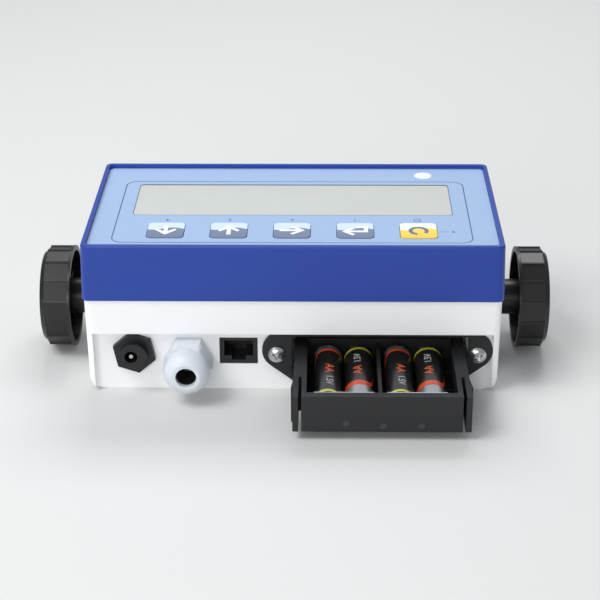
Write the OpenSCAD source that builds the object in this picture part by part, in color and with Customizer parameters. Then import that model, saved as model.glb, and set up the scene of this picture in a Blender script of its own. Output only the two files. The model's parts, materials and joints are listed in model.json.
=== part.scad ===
// Weighing indicator: tabletop case with keypad and display, ports, battery drawer and two clamp knobs.
// The front panel faces +Z and the flat back lies on the ground. The ports look along -Y.

/* [Case] */
// Width of the front rim
case_w = 206; // [200:1:216]
// Depth of the front rim
case_d = 111; // [109:1:118]
// Height from the back to the front rim
case_h = 80; // [79:0.5:84]
// Height of the seam between shell and bezel
part_z = 50.8; // [49.5:0.1:52]
// Spread of the bezel at the seam, each side
bezel_flare = 0.62; // [0.3:0.02:1]
// Step from the rim outline in to the shell at the seam
shell_in = 0.18; // [0.1:0.02:0.6]
// Step from the rim outline in to the shell at the back
back_in = 0.95; // [0.8:0.05:1.4]
// Corner radius in the front view
corner_r = 3.5; // [3:0.1:4.5]
// Rounding of the two long back edges
back_r = 8; // [7:0.5:9]
// Bevel at the ends of the back and around the rim
edge_bevel = 0.8; // [0.4:0.1:1.2]
// Thickness of the outer walls
wall = 2.8; // [2.5:0.1:3]
// Thickness of the shell floor
floor_t = 3; // [2.6:0.1:3.4]
// Step of the cavity's low part in from the side walls
low_in = 5; // [4.5:0.5:6]
// Width of the raised front rim
rim_w = 2.3; // [2:0.1:2.6]
// Depth of the overlay below the rim
rim_drop = 2; // [1.6:0.1:2.4]
// Thickness of the bezel's front plate
plate_t = 2.5; // [2.3:0.1:2.7]
// Gap left open at the seam
seam_gap = 0.1; // [0.05:0.01:0.15]
// Width of the seam gasket
gasket_w = 1.2; // [1:0.1:1.4]
// Depth of the seam gasket in its groove
gasket_t = 1.5; // [1.2:0.1:2]

/* [Panel] */
// Thickness of the printed overlay
overlay_t = 0.5; // [0.4:0.05:0.6]
// Gap around overlay, window and glass
film_gap = 0.15; // [0.1:0.05:0.2]
// Width of the display window
window_w = 161.7; // [158:0.1:163]
// Depth of the display window
window_d = 40.7; // [38:0.1:42]
// Corner radius of the display window
window_r = 2; // [1:0.5:3]
// Display centre to the right of the case centre
window_x = -0.75; // [-1.5:0.05:1]
// Display centre from the port side
window_y = 64.45; // [63.5:0.05:65]
// Margin of the plate's opening around the window
window_margin = 1.2; // [0.8:0.1:1.6]
// Margin of the display glass at the window's two ends
glass_side = 5.15; // [4.9:0.05:5.4]
// Margin of the display glass along the window
glass_edge = 4.65; // [4.4:0.05:4.8]
// Thickness of the display glass
glass_t = 2.2; // [1.8:0.1:2.4]
// Thickness of the backlight
light_t = 1.3; // [1:0.1:1.4]
// Thickness of the display frame's front lip
lip_t = 0.9; // [0.7:0.1:1]
// Width of the display frame's side
frame_side = 3; // [2.5:0.5:3.5]
// Height of the switch board's top below the front plate
board_drop = 4.7; // [4.6:0.1:4.9]
// Thickness of the circuit boards
board_t = 1.6; // [1.4:0.1:1.8]

/* [Keys] */
// Width of a key
key_w = 18.2; // [17:0.1:19]
// Depth of a key
key_d = 18.5; // [17:0.1:19]
// Corner radius of a key
key_r = 2.6; // [2:0.1:3]
// Distance from key to key
key_pitch = 31.3; // [30:0.1:32]
// Third key's centre to the right of the case centre
key_x = -0.6; // [-1:0.05:1]
// Key centres from the port side
key_y = 23.75; // [23:0.05:24.5]
// Rise of a key over the overlay
key_rise = 0.35; // [0.2:0.05:0.5]
// Gap around a key
key_gap = 0.25; // [0.2:0.05:0.35]
// Margin of the hidden collar under a key
collar_margin = 1.2; // [1:0.1:1.5]
// Thickness of the hidden collar
collar_t = 0.8; // [0.6:0.1:0.9]
// Travel of a key
key_travel = 0.5; // [0.4:0.05:0.6]
// Gap between a key's collar and the plate, and left after its travel
key_seat = 0.05; // [0.03:0.01:0.08]
// Radius of a key's plunger
plunger_r = 2.5; // [2:0.1:3]
// Side of a switch body
switch_w = 6; // [5.5:0.1:6.5]
// Height of a switch body
switch_h = 1.6; // [1.4:0.1:1.8]
// Radius of a switch button
switch_r = 1.7; // [1.5:0.1:1.9]
// Height of a switch button
switch_rise = 0.5; // [0.4:0.05:0.6]

/* [Ports] */
// Depth of the port recess
recess_y = 4; // [3.6:0.1:4.4]
// Height of the port recess
recess_z = 32.2; // [31.8:0.1:32.8]
// Port recess in from the rim outline at both ends
recess_in = 3.6; // [3.4:0.05:3.7]
// Fillet between recess and side skirts
recess_r = 3.4; // [2.8:0.1:3.5]
// Power socket in from the rim outline
jack_in = 23.8; // [23:0.1:25]
// Height of the power socket
jack_z = 21; // [20:0.5:22]
// Power inlet's hole from the socket's axis
jack_off = -1.2; // [-1.5:0.1:0]
// Size of the power socket's hexagon over its flats
jack_flats = 19.2; // [18.5:0.1:19.6]
// Thickness of the power socket's hexagon
jack_hex_t = 3; // [2.5:0.1:3.4]
// Turn of the power socket's hexagon from corners at its sides
jack_turn = 18.7; // [0:0.1:30]
// Radius of the power socket's nose
jack_nose_r = 6.9; // [6.5:0.1:7.4]
// Length of the power socket's nose before the hexagon
jack_nose = 4; // [3:0.1:4.5]
// Radius of the power socket's thread
jack_thread_r = 5.8; // [5.5:0.1:6]
// Length of the power socket's thread behind the panel face
jack_tail = 12; // [11:0.5:14]
// Radius of the power inlet
inlet_r = 3.2; // [3:0.1:3.4]
// Depth of the power inlet
inlet_deep = 10; // [9:0.5:11]
// Radius of the power pin
pin_r = 1.05; // [0.8:0.05:1.2]
// Pin's end behind the socket's face
pin_back = 0.8; // [0.5:0.1:1.2]
// Clearance of a thread in its panel hole
hole_gap = 0.15; // [0.1:0.05:0.2]
// Size of the socket's nut over its flats
jack_nut_flats = 16; // [15:0.5:17]
// Thickness of the nuts behind the panel
nut_t = 3; // [2.5:0.5:3.5]
// Cable gland from the case centre
gland_x = -52; // [-52.5:0.1:-51.5]
// Height of the cable gland
gland_z = 17.9; // [17.5:0.1:18.5]
// Radius of the gland's domed nut
dome_r = 11.5; // [11:0.1:11.8]
// Radius of the domed nut's flat tip
tip_r = 6.9; // [6.5:0.1:7.4]
// Radius of the gland's cable hole
cable_r = 5.1; // [4.8:0.1:5.3]
// Gland's tip before the port recess face
gland_len = 22.6; // [22:0.2:23.4]
// Length of the domed part
dome_len = 7.4; // [7:0.1:8]
// Thickness of the gland's hexagon on the panel
gland_hex_t = 6.5; // [6:0.1:7]
// Size of the gland's hexagon over its flats
gland_flats = 21.4; // [20.5:0.1:22]
// Radius of the gland's thread
gland_thread_r = 7.6; // [7.3:0.1:7.8]
// Inner radius of the gland's body
gland_bore_r = 6.5; // [6.3:0.1:6.6]
// Length of the gland's thread behind the panel face
gland_tail = 11; // [10:0.5:13]
// Size of the gland's lock nut over its flats
gland_nut_flats = 19; // [18.5:0.5:20]
// Running gap between the gland's body and its domed nut
turn_gap = 0.05; // [0.03:0.01:0.08]
// Size of the domed nut over its flats
grip_flats = 22; // [21.6:0.1:22.4]
// Radius of the domed nut over its worn corners
grip_corner_r = 12.3; // [12:0.1:12.6]
// Length of the rubber seal
seal_len = 7; // [6:0.5:8]
// Data socket window from the case centre
data_x = -27.2; // [-28:0.1:-26.5]
// Height of the data socket's centre
data_z = 21.4; // [21:0.1:21.8]
// Width of the data socket
data_w = 18.7; // [18:0.1:19.2]
// Height of the data socket
data_h = 14.2; // [14:0.1:14.6]
// Length of the data socket
data_len = 17; // [16:0.5:18]
// Gap around the data socket
data_gap = 0.2; // [0.15:0.05:0.3]
// Width of the data socket's mouth
mouth_w = 14.4; // [13:0.1:15]
// Height of the data socket's mouth
mouth_h = 8.4; // [8:0.1:8.8]
// Depth of the data socket's mouth
mouth_deep = 13; // [12:0.5:14]
// Width of the latch slot under the mouth
latch_w = 7; // [6:0.1:8]
// Height of the latch slot
latch_h = 2.4; // [2:0.1:2.6]
// Roof thickness over the data socket's mouth
mouth_roof = 1.6; // [1.4:0.1:1.8]
// Number of data contacts
contact_n = 6; // [4:1:8]
// Distance from data contact to data contact
contact_pitch = 1.3; // [1.1:0.05:1.4]
// Thickness of a data contact
contact_t = 0.5; // [0.4:0.05:0.6]
// Drop of the data contacts into the mouth
contact_drop = 1.4; // [1:0.1:1.8]
// Length of the data contacts
contact_len = 8; // [7:0.5:9]

/* [Battery bay] */
// Bay centre in from the rim outline
bay_in = 59.9; // [59.4:0.1:60.4]
// Half width of the bay
bay_hw = 43.75; // [43.75:0.05:44]
// Gap between the drawer and the bay's floor
slide_gap = 0.25; // [0.15:0.05:0.3]
// Top of the bay's opening
bay_z1 = 30.2; // [29.5:0.1:30.4]
// Back of the bay from the port side
bay_end = 62; // [61.5:0.5:64]
// Frame plate's centre from the bay's centre
plate_off = 1.2; // [1.15:0.05:1.3]
// Thickness of the frame plate
bay_plate_t = 2; // [1.6:0.1:2.2]
// Radius of the frame plate's ears
ear_r = 10.3; // [10:0.1:10.35]
// Ear centre from the plate's centre
ear_x = 47; // [46.5:0.1:47.1]
// Height of the ear centres
ear_z = 22.5; // [22:0.1:23]
// Slope of the plate's lower edges
ear_angle = 37.6; // [36:0.2:40]
// Height where the plate's lower edges would meet the drawer's underside
plate_z0 = 1; // [0.8:0.1:1.4]
// Top edge of the frame plate under the recess
plate_gap = 0.25; // [0.2:0.05:0.4]
// Frame screw from the plate's centre
ear_screw_x = 50; // [49.6:0.1:50.2]
// Height of the frame screws
ear_screw_z = 20.6; // [20.2:0.1:21]
// Length of the drawer
drawer_len = 63; // [62:0.5:64]
// Drawer's front before the case face when it is pulled out
drawer_out = 47; // [46:0.5:48]
// Travel of the drawer until it is closed
drawer_travel = 43.5; // [42:0.5:43.5]
// Half width of the drawer
drawer_hw = 42.2; // [42:0.1:42.4]
// Bottom of the drawer
drawer_z0 = 4.65; // [4.4:0.05:4.9]
// Height of the drawer
drawer_h = 19; // [18.5:0.5:20]
// Half width of the drawer's front wall and bay for the cells
front_hw = 38.3; // [38.1:0.1:38.5]
// Thickness of the drawer's front wall
front_t = 4.3; // [4:0.1:4.5]
// Half width of the drawer's inside
inner_hw = 35.9; // [35.7:0.1:36.2]
// Thickness of the drawer's floor
tray_t = 2; // [1.8:0.1:2.2]
// Thickness of the drawer's back wall
tray_back = 3; // [2.5:0.5:3.5]
// Width of the slit beside a latch finger
slit_w = 1.5; // [1.4:0.1:1.6]
// Latch finger's root from the drawer's front
finger_len = 20; // [19:0.5:21]
// Gap at the root of a latch finger
root_gap = 0.25; // [0.2:0.05:0.3]
// Half width of the drawer over the latch fingers' hooks
hook_hw = 43.4; // [43.2:0.05:43.45]
// Hook's edge from the drawer's front
hook_y = 9; // [8:0.5:10]
// Step of the hook
hook_step = 0.8; // [0.6:0.1:1]
// Turn of a latch finger when it is pressed in
finger_turn = 3; // [2.5:0.5:3.5]
// Radius of a cell
cell_r = 7.2; // [7:0.05:7.25]
// Length of a cell with its nub
cell_len = 50.4; // [50:0.1:50.5]
// Radius of a cell's nub
nub_r = 2.7; // [2.5:0.1:2.8]
// Length of a cell's nub
nub_len = 1.1; // [1:0.1:1.4]
// Centre of the cells from the case centre
cell_x = 42.4; // [42.2:0.1:42.6]
// Height of the cells' axes
cell_z = 15.5; // [15.4:0.1:16]
// Inner cells from the cells' centre
cell_near = 9.7; // [9.5:0.1:9.8]
// Outer cells from the cells' centre
cell_far = 25.05; // [25:0.05:25.3]
// Gap around a cell in its cradle
cell_gap = 0.15; // [0.1:0.05:0.2]
// Thickness of a cradle rib
rib_t = 2; // [1.6:0.1:2.2]
// Height of the cradle ribs over the floor
rib_h = 4; // [3:0.5:5]
// First cradle rib's centre from the drawer's front
rib_y = 12; // [11:0.5:13]
// Distance from cradle rib to cradle rib
rib_pitch = 19; // [18:0.5:20]
// Number of cradle ribs
rib_n = 3; // [1:1:3]
// Thickness of the divider between the cell pairs
divider_t = 1.8; // [1.4:0.1:2]
// Drop of the divider below the drawer's top
divider_drop = 2; // [1.5:0.5:3]
// Thickness of the contact plates
contact_plate_t = 0.5; // [0.4:0.05:0.55]
// Height of the contact plates
contact_plate_h = 15; // [14:0.5:16]
// Width of the contact plates
contact_plate_w = 28.6; // [27:0.1:29]
// Wire radius of the contact springs
spring_wire_r = 0.45; // [0.4:0.05:0.5]
// Outer radius of the contact springs
spring_r = 3.6; // [3.2:0.1:4]
// Number of turns shown on a contact spring
spring_n = 4; // [3:1:5]
// Width of the drawer's rear terminals
terminal_w = 8; // [7:0.5:10]
// Rear terminals from the bay's centre
terminal_x = 30; // [28:0.5:32]
// Thickness of the drawer's rear terminals
terminal_t = 0.4; // [0.3:0.05:0.5]
// Gap between terminals and bay contacts when the drawer is closed
terminal_gap = 0.1; // [0.05:0.05:0.2]

/* [Knobs] */
// Knob axis from the port side
knob_y = 55.5; // [55:0.1:56]
// Height of the knob axis
knob_z = 27.2; // [27:0.1:28]
// Radius of a knob over its ribs
knob_r = 26.35; // [26:0.05:26.4]
// Drop from the ribs to the facets' corners
rib_rise = 0.55; // [0.4:0.05:0.8]
// Step from the plain ring down to the ribs
ring_step = 0.12; // [0.08:0.02:0.2]
// Number of facets
facet_n = 15; // [12:1:18]
// Width of a rib as an angle
rib_angle = 2.4; // [1.8:0.2:3]
// Radius of the case's round pad
pad_r = 11; // [10:0.5:12]
// Thickness of the rubber washer
rubber_t = 3; // [2.5:0.1:3.5]
// Radius of rubber washer and knob hub
hub_r = 9.25; // [9:0.05:9.5]
// Thickness of the steel washer
washer_t = 1.5; // [1.2:0.1:1.8]
// Gap on each side of the steel washer
washer_gap = 0.05; // [0.03:0.01:0.1]
// Knob's inner edge from the case's round pad
knob_off = 12; // [11.6:0.1:12.4]
// Width of the plain ring at the inner edge
ring_w = 1.5; // [1.2:0.1:1.8]
// Length of the faceted grip
grip_w = 11.8; // [11:0.1:12]
// Length of the bevelled outer end
end_w = 2.4; // [2:0.1:2.6]
// Radius of the flat outer face
end_r = 23; // [22:0.1:24]
// Thickness of the knob's grip wall
grip_wall = 1.9; // [1.7:0.1:2.2]
// Thickness of the knob's outer face
face_t = 3; // [2.6:0.1:3.4]
// Number of stiffening webs in a knob
web_n = 5; // [3:1:6]
// Thickness of a web
web_t = 1.6; // [1.4:0.1:2]
// Depth of the webs behind the knob's inner edge
web_back = 4; // [3:0.5:5]
// Radius of the stud
stud_r = 4; // [3.9:0.05:4.1]
// Length of the stud from the hub's inner face
stud_len = 17; // [16:0.5:17.5]
// Running gap around the stud
stud_gap = 0.06; // [0.04:0.01:0.1]
// Length of the stud moulded into the knob
stud_deep = 12; // [10:0.5:13]
// Radius of the threaded insert
insert_r = 6; // [5.6:0.1:6.2]
// Length of the threaded insert
insert_len = 11; // [10:0.5:11.5]
// Radius of the boss for the insert
boss_r = 8; // [7.8:0.1:8.4]
// Clearance of stud holes in washers
washer_hole_gap = 0.3; // [0.2:0.05:0.4]

/* [Inside] */
// Case screw posts in from the rim outline
post_in = 11.5; // [11.2:0.1:11.8]
// Front case screw posts from the port side
post_y = 20; // [19:0.5:21]
// Rear case screw posts from the port side
post_far_y = 100; // [99:0.5:101]
// Radius of the case screw posts
post_r = 5; // [4.8:0.1:5.2]
// Radius of the access holes
access_r = 3.4; // [3.2:0.1:3.5]
// Height of the access holes
access_z = 38; // [36:0.5:42]
// Radius of the screws' shanks
screw_r = 1.5; // [1.4:0.05:1.6]
// Clearance around a screw shank
screw_gap = 0.2; // [0.1:0.05:0.3]
// Radius of the case screw heads
head_r = 2.8; // [2.6:0.1:3]
// Height of the case screw heads
head_h = 2.4; // [2.2:0.1:2.6]
// Length of the screws' shanks
screw_len = 17.5; // [17:0.5:18]
// Radius of the brass inserts
brass_r = 2.3; // [2.2:0.1:2.4]
// Length of the brass inserts
brass_len = 5; // [4:0.5:6]
// Radius of the bezel's screw bosses
bezel_boss_r = 4.2; // [4:0.1:4.4]
// Radius of the frame screw heads
pan_r = 4.25; // [4:0.05:4.4]
// Height of the frame screw heads
pan_h = 2; // [1.8:0.1:2.2]
// Length of the frame screws' shanks
pan_len = 10; // [9:0.5:11]
// Radius of the frame screw bosses behind the panel
pan_boss_r = 3.6; // [3.4:0.1:3.8]
// Width of a screw's cross recess
cross_w = 0.9; // [0.8:0.1:1]
// Length of a screw's cross recess
cross_len = 4; // [3.6:0.2:4.2]
// Depth of a screw's cross recess
cross_deep = 1.2; // [1:0.1:1.4]
// Radius of the circuit boards' standoffs
standoff_r = 3.2; // [3:0.1:3.4]
// Switch board screws from the case centre
board_screw_x = 80; // [79:0.5:81]
// Near switch board screws from the port side
board_screw_y = 9.5; // [9:0.5:9.5]
// Far switch board screws from the port side
board_screw_far = 98; // [97.5:0.5:99]
// Radius of the board screws' shanks
mini_r = 1.1; // [1:0.05:1.2]
// Length of the board screws' shanks
mini_len = 5; // [4.5:0.5:5.5]
// Radius of the board screws' heads
mini_head_r = 2.1; // [2:0.1:2.2]
// Height of the board screws' heads
mini_head_h = 1.4; // [1.2:0.1:1.6]
// Margin of the circuit boards around their screws
board_margin = 4; // [4:0.5:4.5]
// Height of the main board's underside
main_z = 38; // [37:0.5:40]
// Main board screws in from the rim outline
main_in = 29; // [27:1:33]
// Near main board screws from the port side
main_y = 32; // [30:1:34]
// Far main board screws from the port side
main_far_y = 98; // [96:1:99]
// Data board screws from the data socket's centre
port_screw_x = 11.6; // [11.4:0.1:12]
// Data board screws from the port recess
port_screw_y = 14; // [12:1:16]
// Width of the ribbon cable
ribbon_w = 24; // [20:1:28]
// Thickness of the ribbon cable
ribbon_t = 1.2; // [1:0.1:1.4]
// Ribbon cable from the port side
ribbon_y = 80; // [70:1:84]
// Height of the ribbon cable's sockets
header_h = 6; // [5:0.5:7]
// Thickness of the ribbon cable's sockets
header_d = 5; // [5:0.5:6]
// Width of the processor chip
chip_w = 14; // [12:1:16]
// Height of the chips
chip_h = 1.6; // [1.4:0.1:1.8]
// Distance from chip to chip
chip_pitch = 34; // [30:1:36]
// Radius of the sounder
buzzer_r = 6; // [5:0.5:6.5]
// Height of the sounder
buzzer_h = 7; // [6:0.5:8]
// Width of the sensor lead clamp
clamp_w = 30; // [24:1:32]
// Depth of the sensor lead clamp
clamp_d = 8; // [7:0.5:9]
// Height of the sensor lead clamp
clamp_h = 10; // [9:0.5:11]
// Number of lead holes in the clamp
clamp_n = 6; // [4:1:6]
// Radius of a lead hole
clamp_hole_r = 1.2; // [1:0.1:1.4]

/* [Hidden] */
$fn = 64;
skin_fn = 32;
over = 0.5 * wall;
skin_t = 0.1 * wall;

y_mid = (case_d + bezel_flare - drawer_out) / 2;
overlay_z = case_h - rim_drop;
plate_z = overlay_z - overlay_t;
under_z = plate_z - plate_t;
board_z = under_z - board_drop;
inner_w = case_w - 2 * wall;
inner_d = case_d - 2 * wall;
recess_hw = case_w / 2 - recess_in;
jack_x = jack_in - case_w / 2;
bay_x = case_w / 2 - bay_in;
plate_x = bay_x - plate_off;
post_x = case_w / 2 - post_in;
main_x = case_w / 2 - main_in;
pad_x = case_w / 2;
knob_in = pad_x + knob_off;
glass_top = under_z - lip_t;
glass_w = window_w + 2 * glass_side;
glass_d = window_d + 2 * glass_edge;
bay_z0 = drawer_z0 - slide_gap;
key_xs = [for (i = [-2:2]) key_x + i * key_pitch];
collar_top = under_z - key_seat;
switch_top = board_z + switch_h + switch_rise;
panel_back = recess_y + wall;
roof_z = recess_z + wall;
closed_y = drawer_travel - drawer_out;
tray_y = -drawer_out;
tray_end = tray_y + drawer_len;
cell_y = tray_y + front_t + contact_plate_t + film_gap;
cell_end = cell_y + cell_len;
tray_in_end = tray_end - tray_back;
cell_xs = [cell_x - cell_far, cell_x - cell_near, cell_x + cell_near, cell_x + cell_far];
finger_in = front_hw + slit_w;
finger_y = tray_y + finger_len;
hub_x = pad_x + rubber_t + washer_t + 3 * washer_gap;
knob_out = knob_in + ring_w + grip_w + end_w;
facet_r = knob_r - ring_step - rib_rise;
insert_x = pad_x - insert_len;
posts = [for (x = [-post_x, post_x], y = [post_y, post_far_y]) [x, y]];
board_screws = [for (x = [-board_screw_x, 0, board_screw_x], y = [board_screw_y, board_screw_far]) [x, y]];
main_screws = [for (x = [-main_x, main_x], y = [main_y, main_far_y]) [x, y]];
data_board_z = data_z - data_h / 2 - board_t;
data_screws = [for (s = [-1, 1]) [data_x + s * port_screw_x, recess_y + port_screw_y]];
dome_front = recess_y - gland_len;
dome_back = dome_front + dome_len;
nut_back = recess_y - gland_hex_t - turn_gap;

bezel_blue = [0.13, 0.27, 0.6];
overlay_blue = [0.68, 0.77, 0.92];
glass_grey = [0.84, 0.85, 0.83];
key_blue = [0.45, 0.51, 0.62];
shell_white = [0.95, 0.95, 0.96];
black = [0.1, 0.1, 0.1];
tray_grey = [0.17, 0.18, 0.19];
gland_grey = [0.82, 0.86, 0.9];
board_green = [0.1, 0.35, 0.2];
steel = [0.75, 0.76, 0.78];
brass_gold = [0.8, 0.65, 0.3];
cell_green = [0.35, 0.4, 0.15];
cell_red = [0.5, 0.15, 0.1];
ribbon_grey = [0.6, 0.6, 0.6];

// Moves a piece from the case's own corner lines into the part's frame.
module placed() translate([0, -y_mid, 0]) children();

// Rounded rectangle about the origin.
module rounded(w, d, r) {
  square([w - 2 * r, d], center = true);
  square([w, d - 2 * r], center = true);
  for (x = [-1, 1], y = [-1, 1]) translate([x * (w / 2 - r), y * (d / 2 - r)]) circle(r);
}

// Rounded plate with its middle at the given place and its underside there.
module plate(at, w, d, t, r) translate(at) linear_extrude(t) rounded(w, d, r);

// Block between two corners.
module block(from, to) translate(from) cube(to - from);

// Pin that runs from a place along +X, +Y or +Z.
module along_x(at, r, len) translate(at) rotate([0, 90, 0]) cylinder(h = len, r = r);
module along_y(at, r, len) translate(at) rotate([-90, 0, 0]) cylinder(h = len, r = r);
module along_z(at, r, len) translate(at) cylinder(h = len, r = r);

// Hexagon of a size over its flats that runs along +Y.
module hex_y(at, flats, len, turn) {
  translate(at) rotate([-90, 0, 0]) rotate(turn) linear_extrude(len) circle(flats / sqrt(3), $fn = 6);
}

// Cross recess in a screw head whose top is at the origin and faces +Z.
module cross_cut(len, deep) {
  for (a = [0, 90]) rotate(a) translate([-len / 2, -cross_w / 2, -deep]) cube([len, cross_w, deep + over]);
}

// Small board screw that enters along +Z with its head below the given place.
module board_screw(at) {
  translate(at) mirror([0, 0, 1]) difference() {
    union() {
      cylinder(h = mini_head_h, r = mini_head_r);
      translate([0, 0, -mini_len]) cylinder(h = mini_len + mini_head_h / 2, r = mini_r);
    }
    translate([0, 0, mini_head_h]) cross_cut(cross_len * mini_head_r / pan_r, cross_deep / 2);
  }
}

// Outer form of the bezel: flared to the seam, bevelled round the rim.
module bezel_skin() {
  mid_y = case_d / 2;
  hull() {
    plate([0, mid_y, part_z + seam_gap], case_w + 2 * bezel_flare, case_d + 2 * bezel_flare, skin_t,
      corner_r, $fn = skin_fn);
    plate([0, mid_y, case_h - edge_bevel - skin_t], case_w, case_d, skin_t, corner_r, $fn = skin_fn);
    plate([0, mid_y, case_h - skin_t], case_w - edge_bevel, case_d - edge_bevel, skin_t,
      corner_r - edge_bevel / 2, $fn = skin_fn);
  }
}

// Outer form of the shell: narrower to the back, its two long back edges rounded.
module shell_skin() {
  mid_y = case_d / 2;
  low_d = case_d - 2 * back_in;
  low_x = case_w / 2 - back_in - back_r;
  hull() {
    plate([0, mid_y, part_z - skin_t], case_w - 2 * shell_in, case_d - 2 * shell_in, skin_t, corner_r,
      $fn = skin_fn);
    plate([0, mid_y, back_r], case_w - 2 * back_in, low_d, skin_t, corner_r, $fn = skin_fn);
    for (x = [-low_x, low_x])
      along_y([x, mid_y - low_d / 2 + edge_bevel, back_r], back_r, low_d - 2 * edge_bevel);
  }
}

// Opening of a key through overlay and front plate.
module key_hole(x, z, t) plate([x, key_y, z], key_w + 2 * key_gap, key_d + 2 * key_gap, t, key_r + key_gap);

// Blue front bezel with its raised rim and the plate that carries overlay, display and keys.
module front_bezel() color(bezel_blue) placed() {
  difference() {
    union() {
      difference() {
        bezel_skin();
        plate([0, case_d / 2, plate_z], case_w - 2 * rim_w, case_d - 2 * rim_w, rim_drop + overlay_t + over,
          corner_r - rim_w / 2);
        plate([0, case_d / 2, part_z - over], inner_w, inner_d, under_z - part_z + over, corner_r);
      }
      for (p = posts) along_z([p[0], p[1], part_z + seam_gap], bezel_boss_r, plate_z - part_z - over);
      for (p = board_screws) along_z([p[0], p[1], board_z], standoff_r, board_drop + over);
    }
    plate([window_x, window_y, under_z - over], window_w + 2 * window_margin, window_d + 2 * window_margin,
      plate_t + 2 * over, window_r + window_margin);
    for (x = key_xs) key_hole(x, under_z - over, plate_t + 2 * over);
    for (p = posts) {
      along_z([p[0], p[1], part_z - over], brass_r, brass_len + over + seam_gap);
      along_z([p[0], p[1], part_z - over], screw_r + screw_gap, screw_len);
    }
    for (p = board_screws) along_z([p[0], p[1], board_z - over], mini_r, mini_len + over);
  }
}

// Printed overlay film in the rim.
module panel_overlay() color(overlay_blue) placed() difference() {
  plate([0, case_d / 2, plate_z], case_w - 2 * rim_w - 2 * film_gap, case_d - 2 * rim_w - 2 * film_gap,
    overlay_t, corner_r - rim_w / 2 - film_gap);
  plate([window_x, window_y, plate_z - over], window_w + 2 * film_gap, window_d + 2 * film_gap,
    overlay_t + 2 * over, window_r + film_gap);
  for (x = key_xs) key_hole(x, plate_z - over, overlay_t + 2 * over);
}

// Clear window over the display; it stands on the display frame's lip.
module display_window() color(glass_grey) placed() union() {
  plate([window_x, window_y, plate_z], window_w, window_d, overlay_t, window_r);
  plate([window_x, window_y, under_z + film_gap], window_w + 2 * (window_margin - film_gap),
    window_d + 2 * (window_margin - film_gap), plate_t - film_gap, window_r + window_margin - film_gap);
}

// Black frame that holds glass and backlight under the front plate.
module display_frame() color(black) placed() difference() {
  plate([window_x, window_y, board_z + film_gap], glass_w + 2 * frame_side, glass_d + 2 * frame_side,
    board_drop - film_gap, corner_r);
  plate([window_x, window_y, board_z - over], glass_w + 2 * film_gap, glass_d + 2 * film_gap,
    board_drop - lip_t + over, film_gap);
  plate([window_x, window_y, board_z], window_w, window_d, board_drop + over, window_r);
}

// Display glass.
module display_glass() color(glass_grey) placed()
  block([window_x - glass_w / 2, window_y - glass_d / 2, glass_top - glass_t],
    [window_x + glass_w / 2, window_y + glass_d / 2, glass_top]);

// Light plate behind the display glass.
module backlight() color(shell_white) placed()
  block([window_x - glass_w / 2, window_y - glass_d / 2, glass_top - glass_t - light_t],
    [window_x + glass_w / 2, window_y + glass_d / 2, glass_top - glass_t]);

// One key: cap in the overlay, hidden collar under the plate, plunger over its switch.
module key_at(n) color(key_blue) placed() translate([key_xs[n], key_y, 0]) {
  key_plunge = switch_top + key_travel + key_seat;
  plate([0, 0, collar_top - over], key_w, key_d, overlay_z + key_rise - collar_top + over, key_r);
  plate([0, 0, collar_top - collar_t], key_w + 2 * collar_margin, key_d + 2 * collar_margin, collar_t, key_r);
  along_z([0, 0, key_plunge], plunger_r, collar_top - key_plunge);
}
module key_1() key_at(0);
module key_2() key_at(1);
module key_3() key_at(2);
module key_4() key_at(3);
module key_5() key_at(4);

// Five switches on the board under the keys.
module key_switches() color(black) placed() for (x = key_xs) union() {
  translate([x - switch_w / 2, key_y - switch_w / 2, board_z]) cube([switch_w, switch_w, switch_h]);
  along_z([x, key_y, board_z], switch_r, switch_h + switch_rise);
}

// Board under display and keys.
module switch_board() color(board_green) placed() difference() {
  wide = glass_w + 4 * frame_side;
  union() {
    block([-board_screw_x - board_margin, board_screw_y - board_margin, board_z - board_t],
      [board_screw_x + board_margin, board_screw_far + board_margin, board_z]);
    block([window_x - wide / 2, window_y - glass_d / 2 - frame_side, board_z - board_t],
      [window_x + wide / 2, window_y + glass_d / 2 + frame_side, board_z]);
  }
  for (p = board_screws)
    along_z([p[0], p[1], board_z - board_t - over], mini_r + screw_gap, board_t + 2 * over);
}

// Six screws of the switch board.
module switch_board_screws() color(steel) placed()
  for (p = board_screws) board_screw([p[0], p[1], board_z - board_t]);

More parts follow.
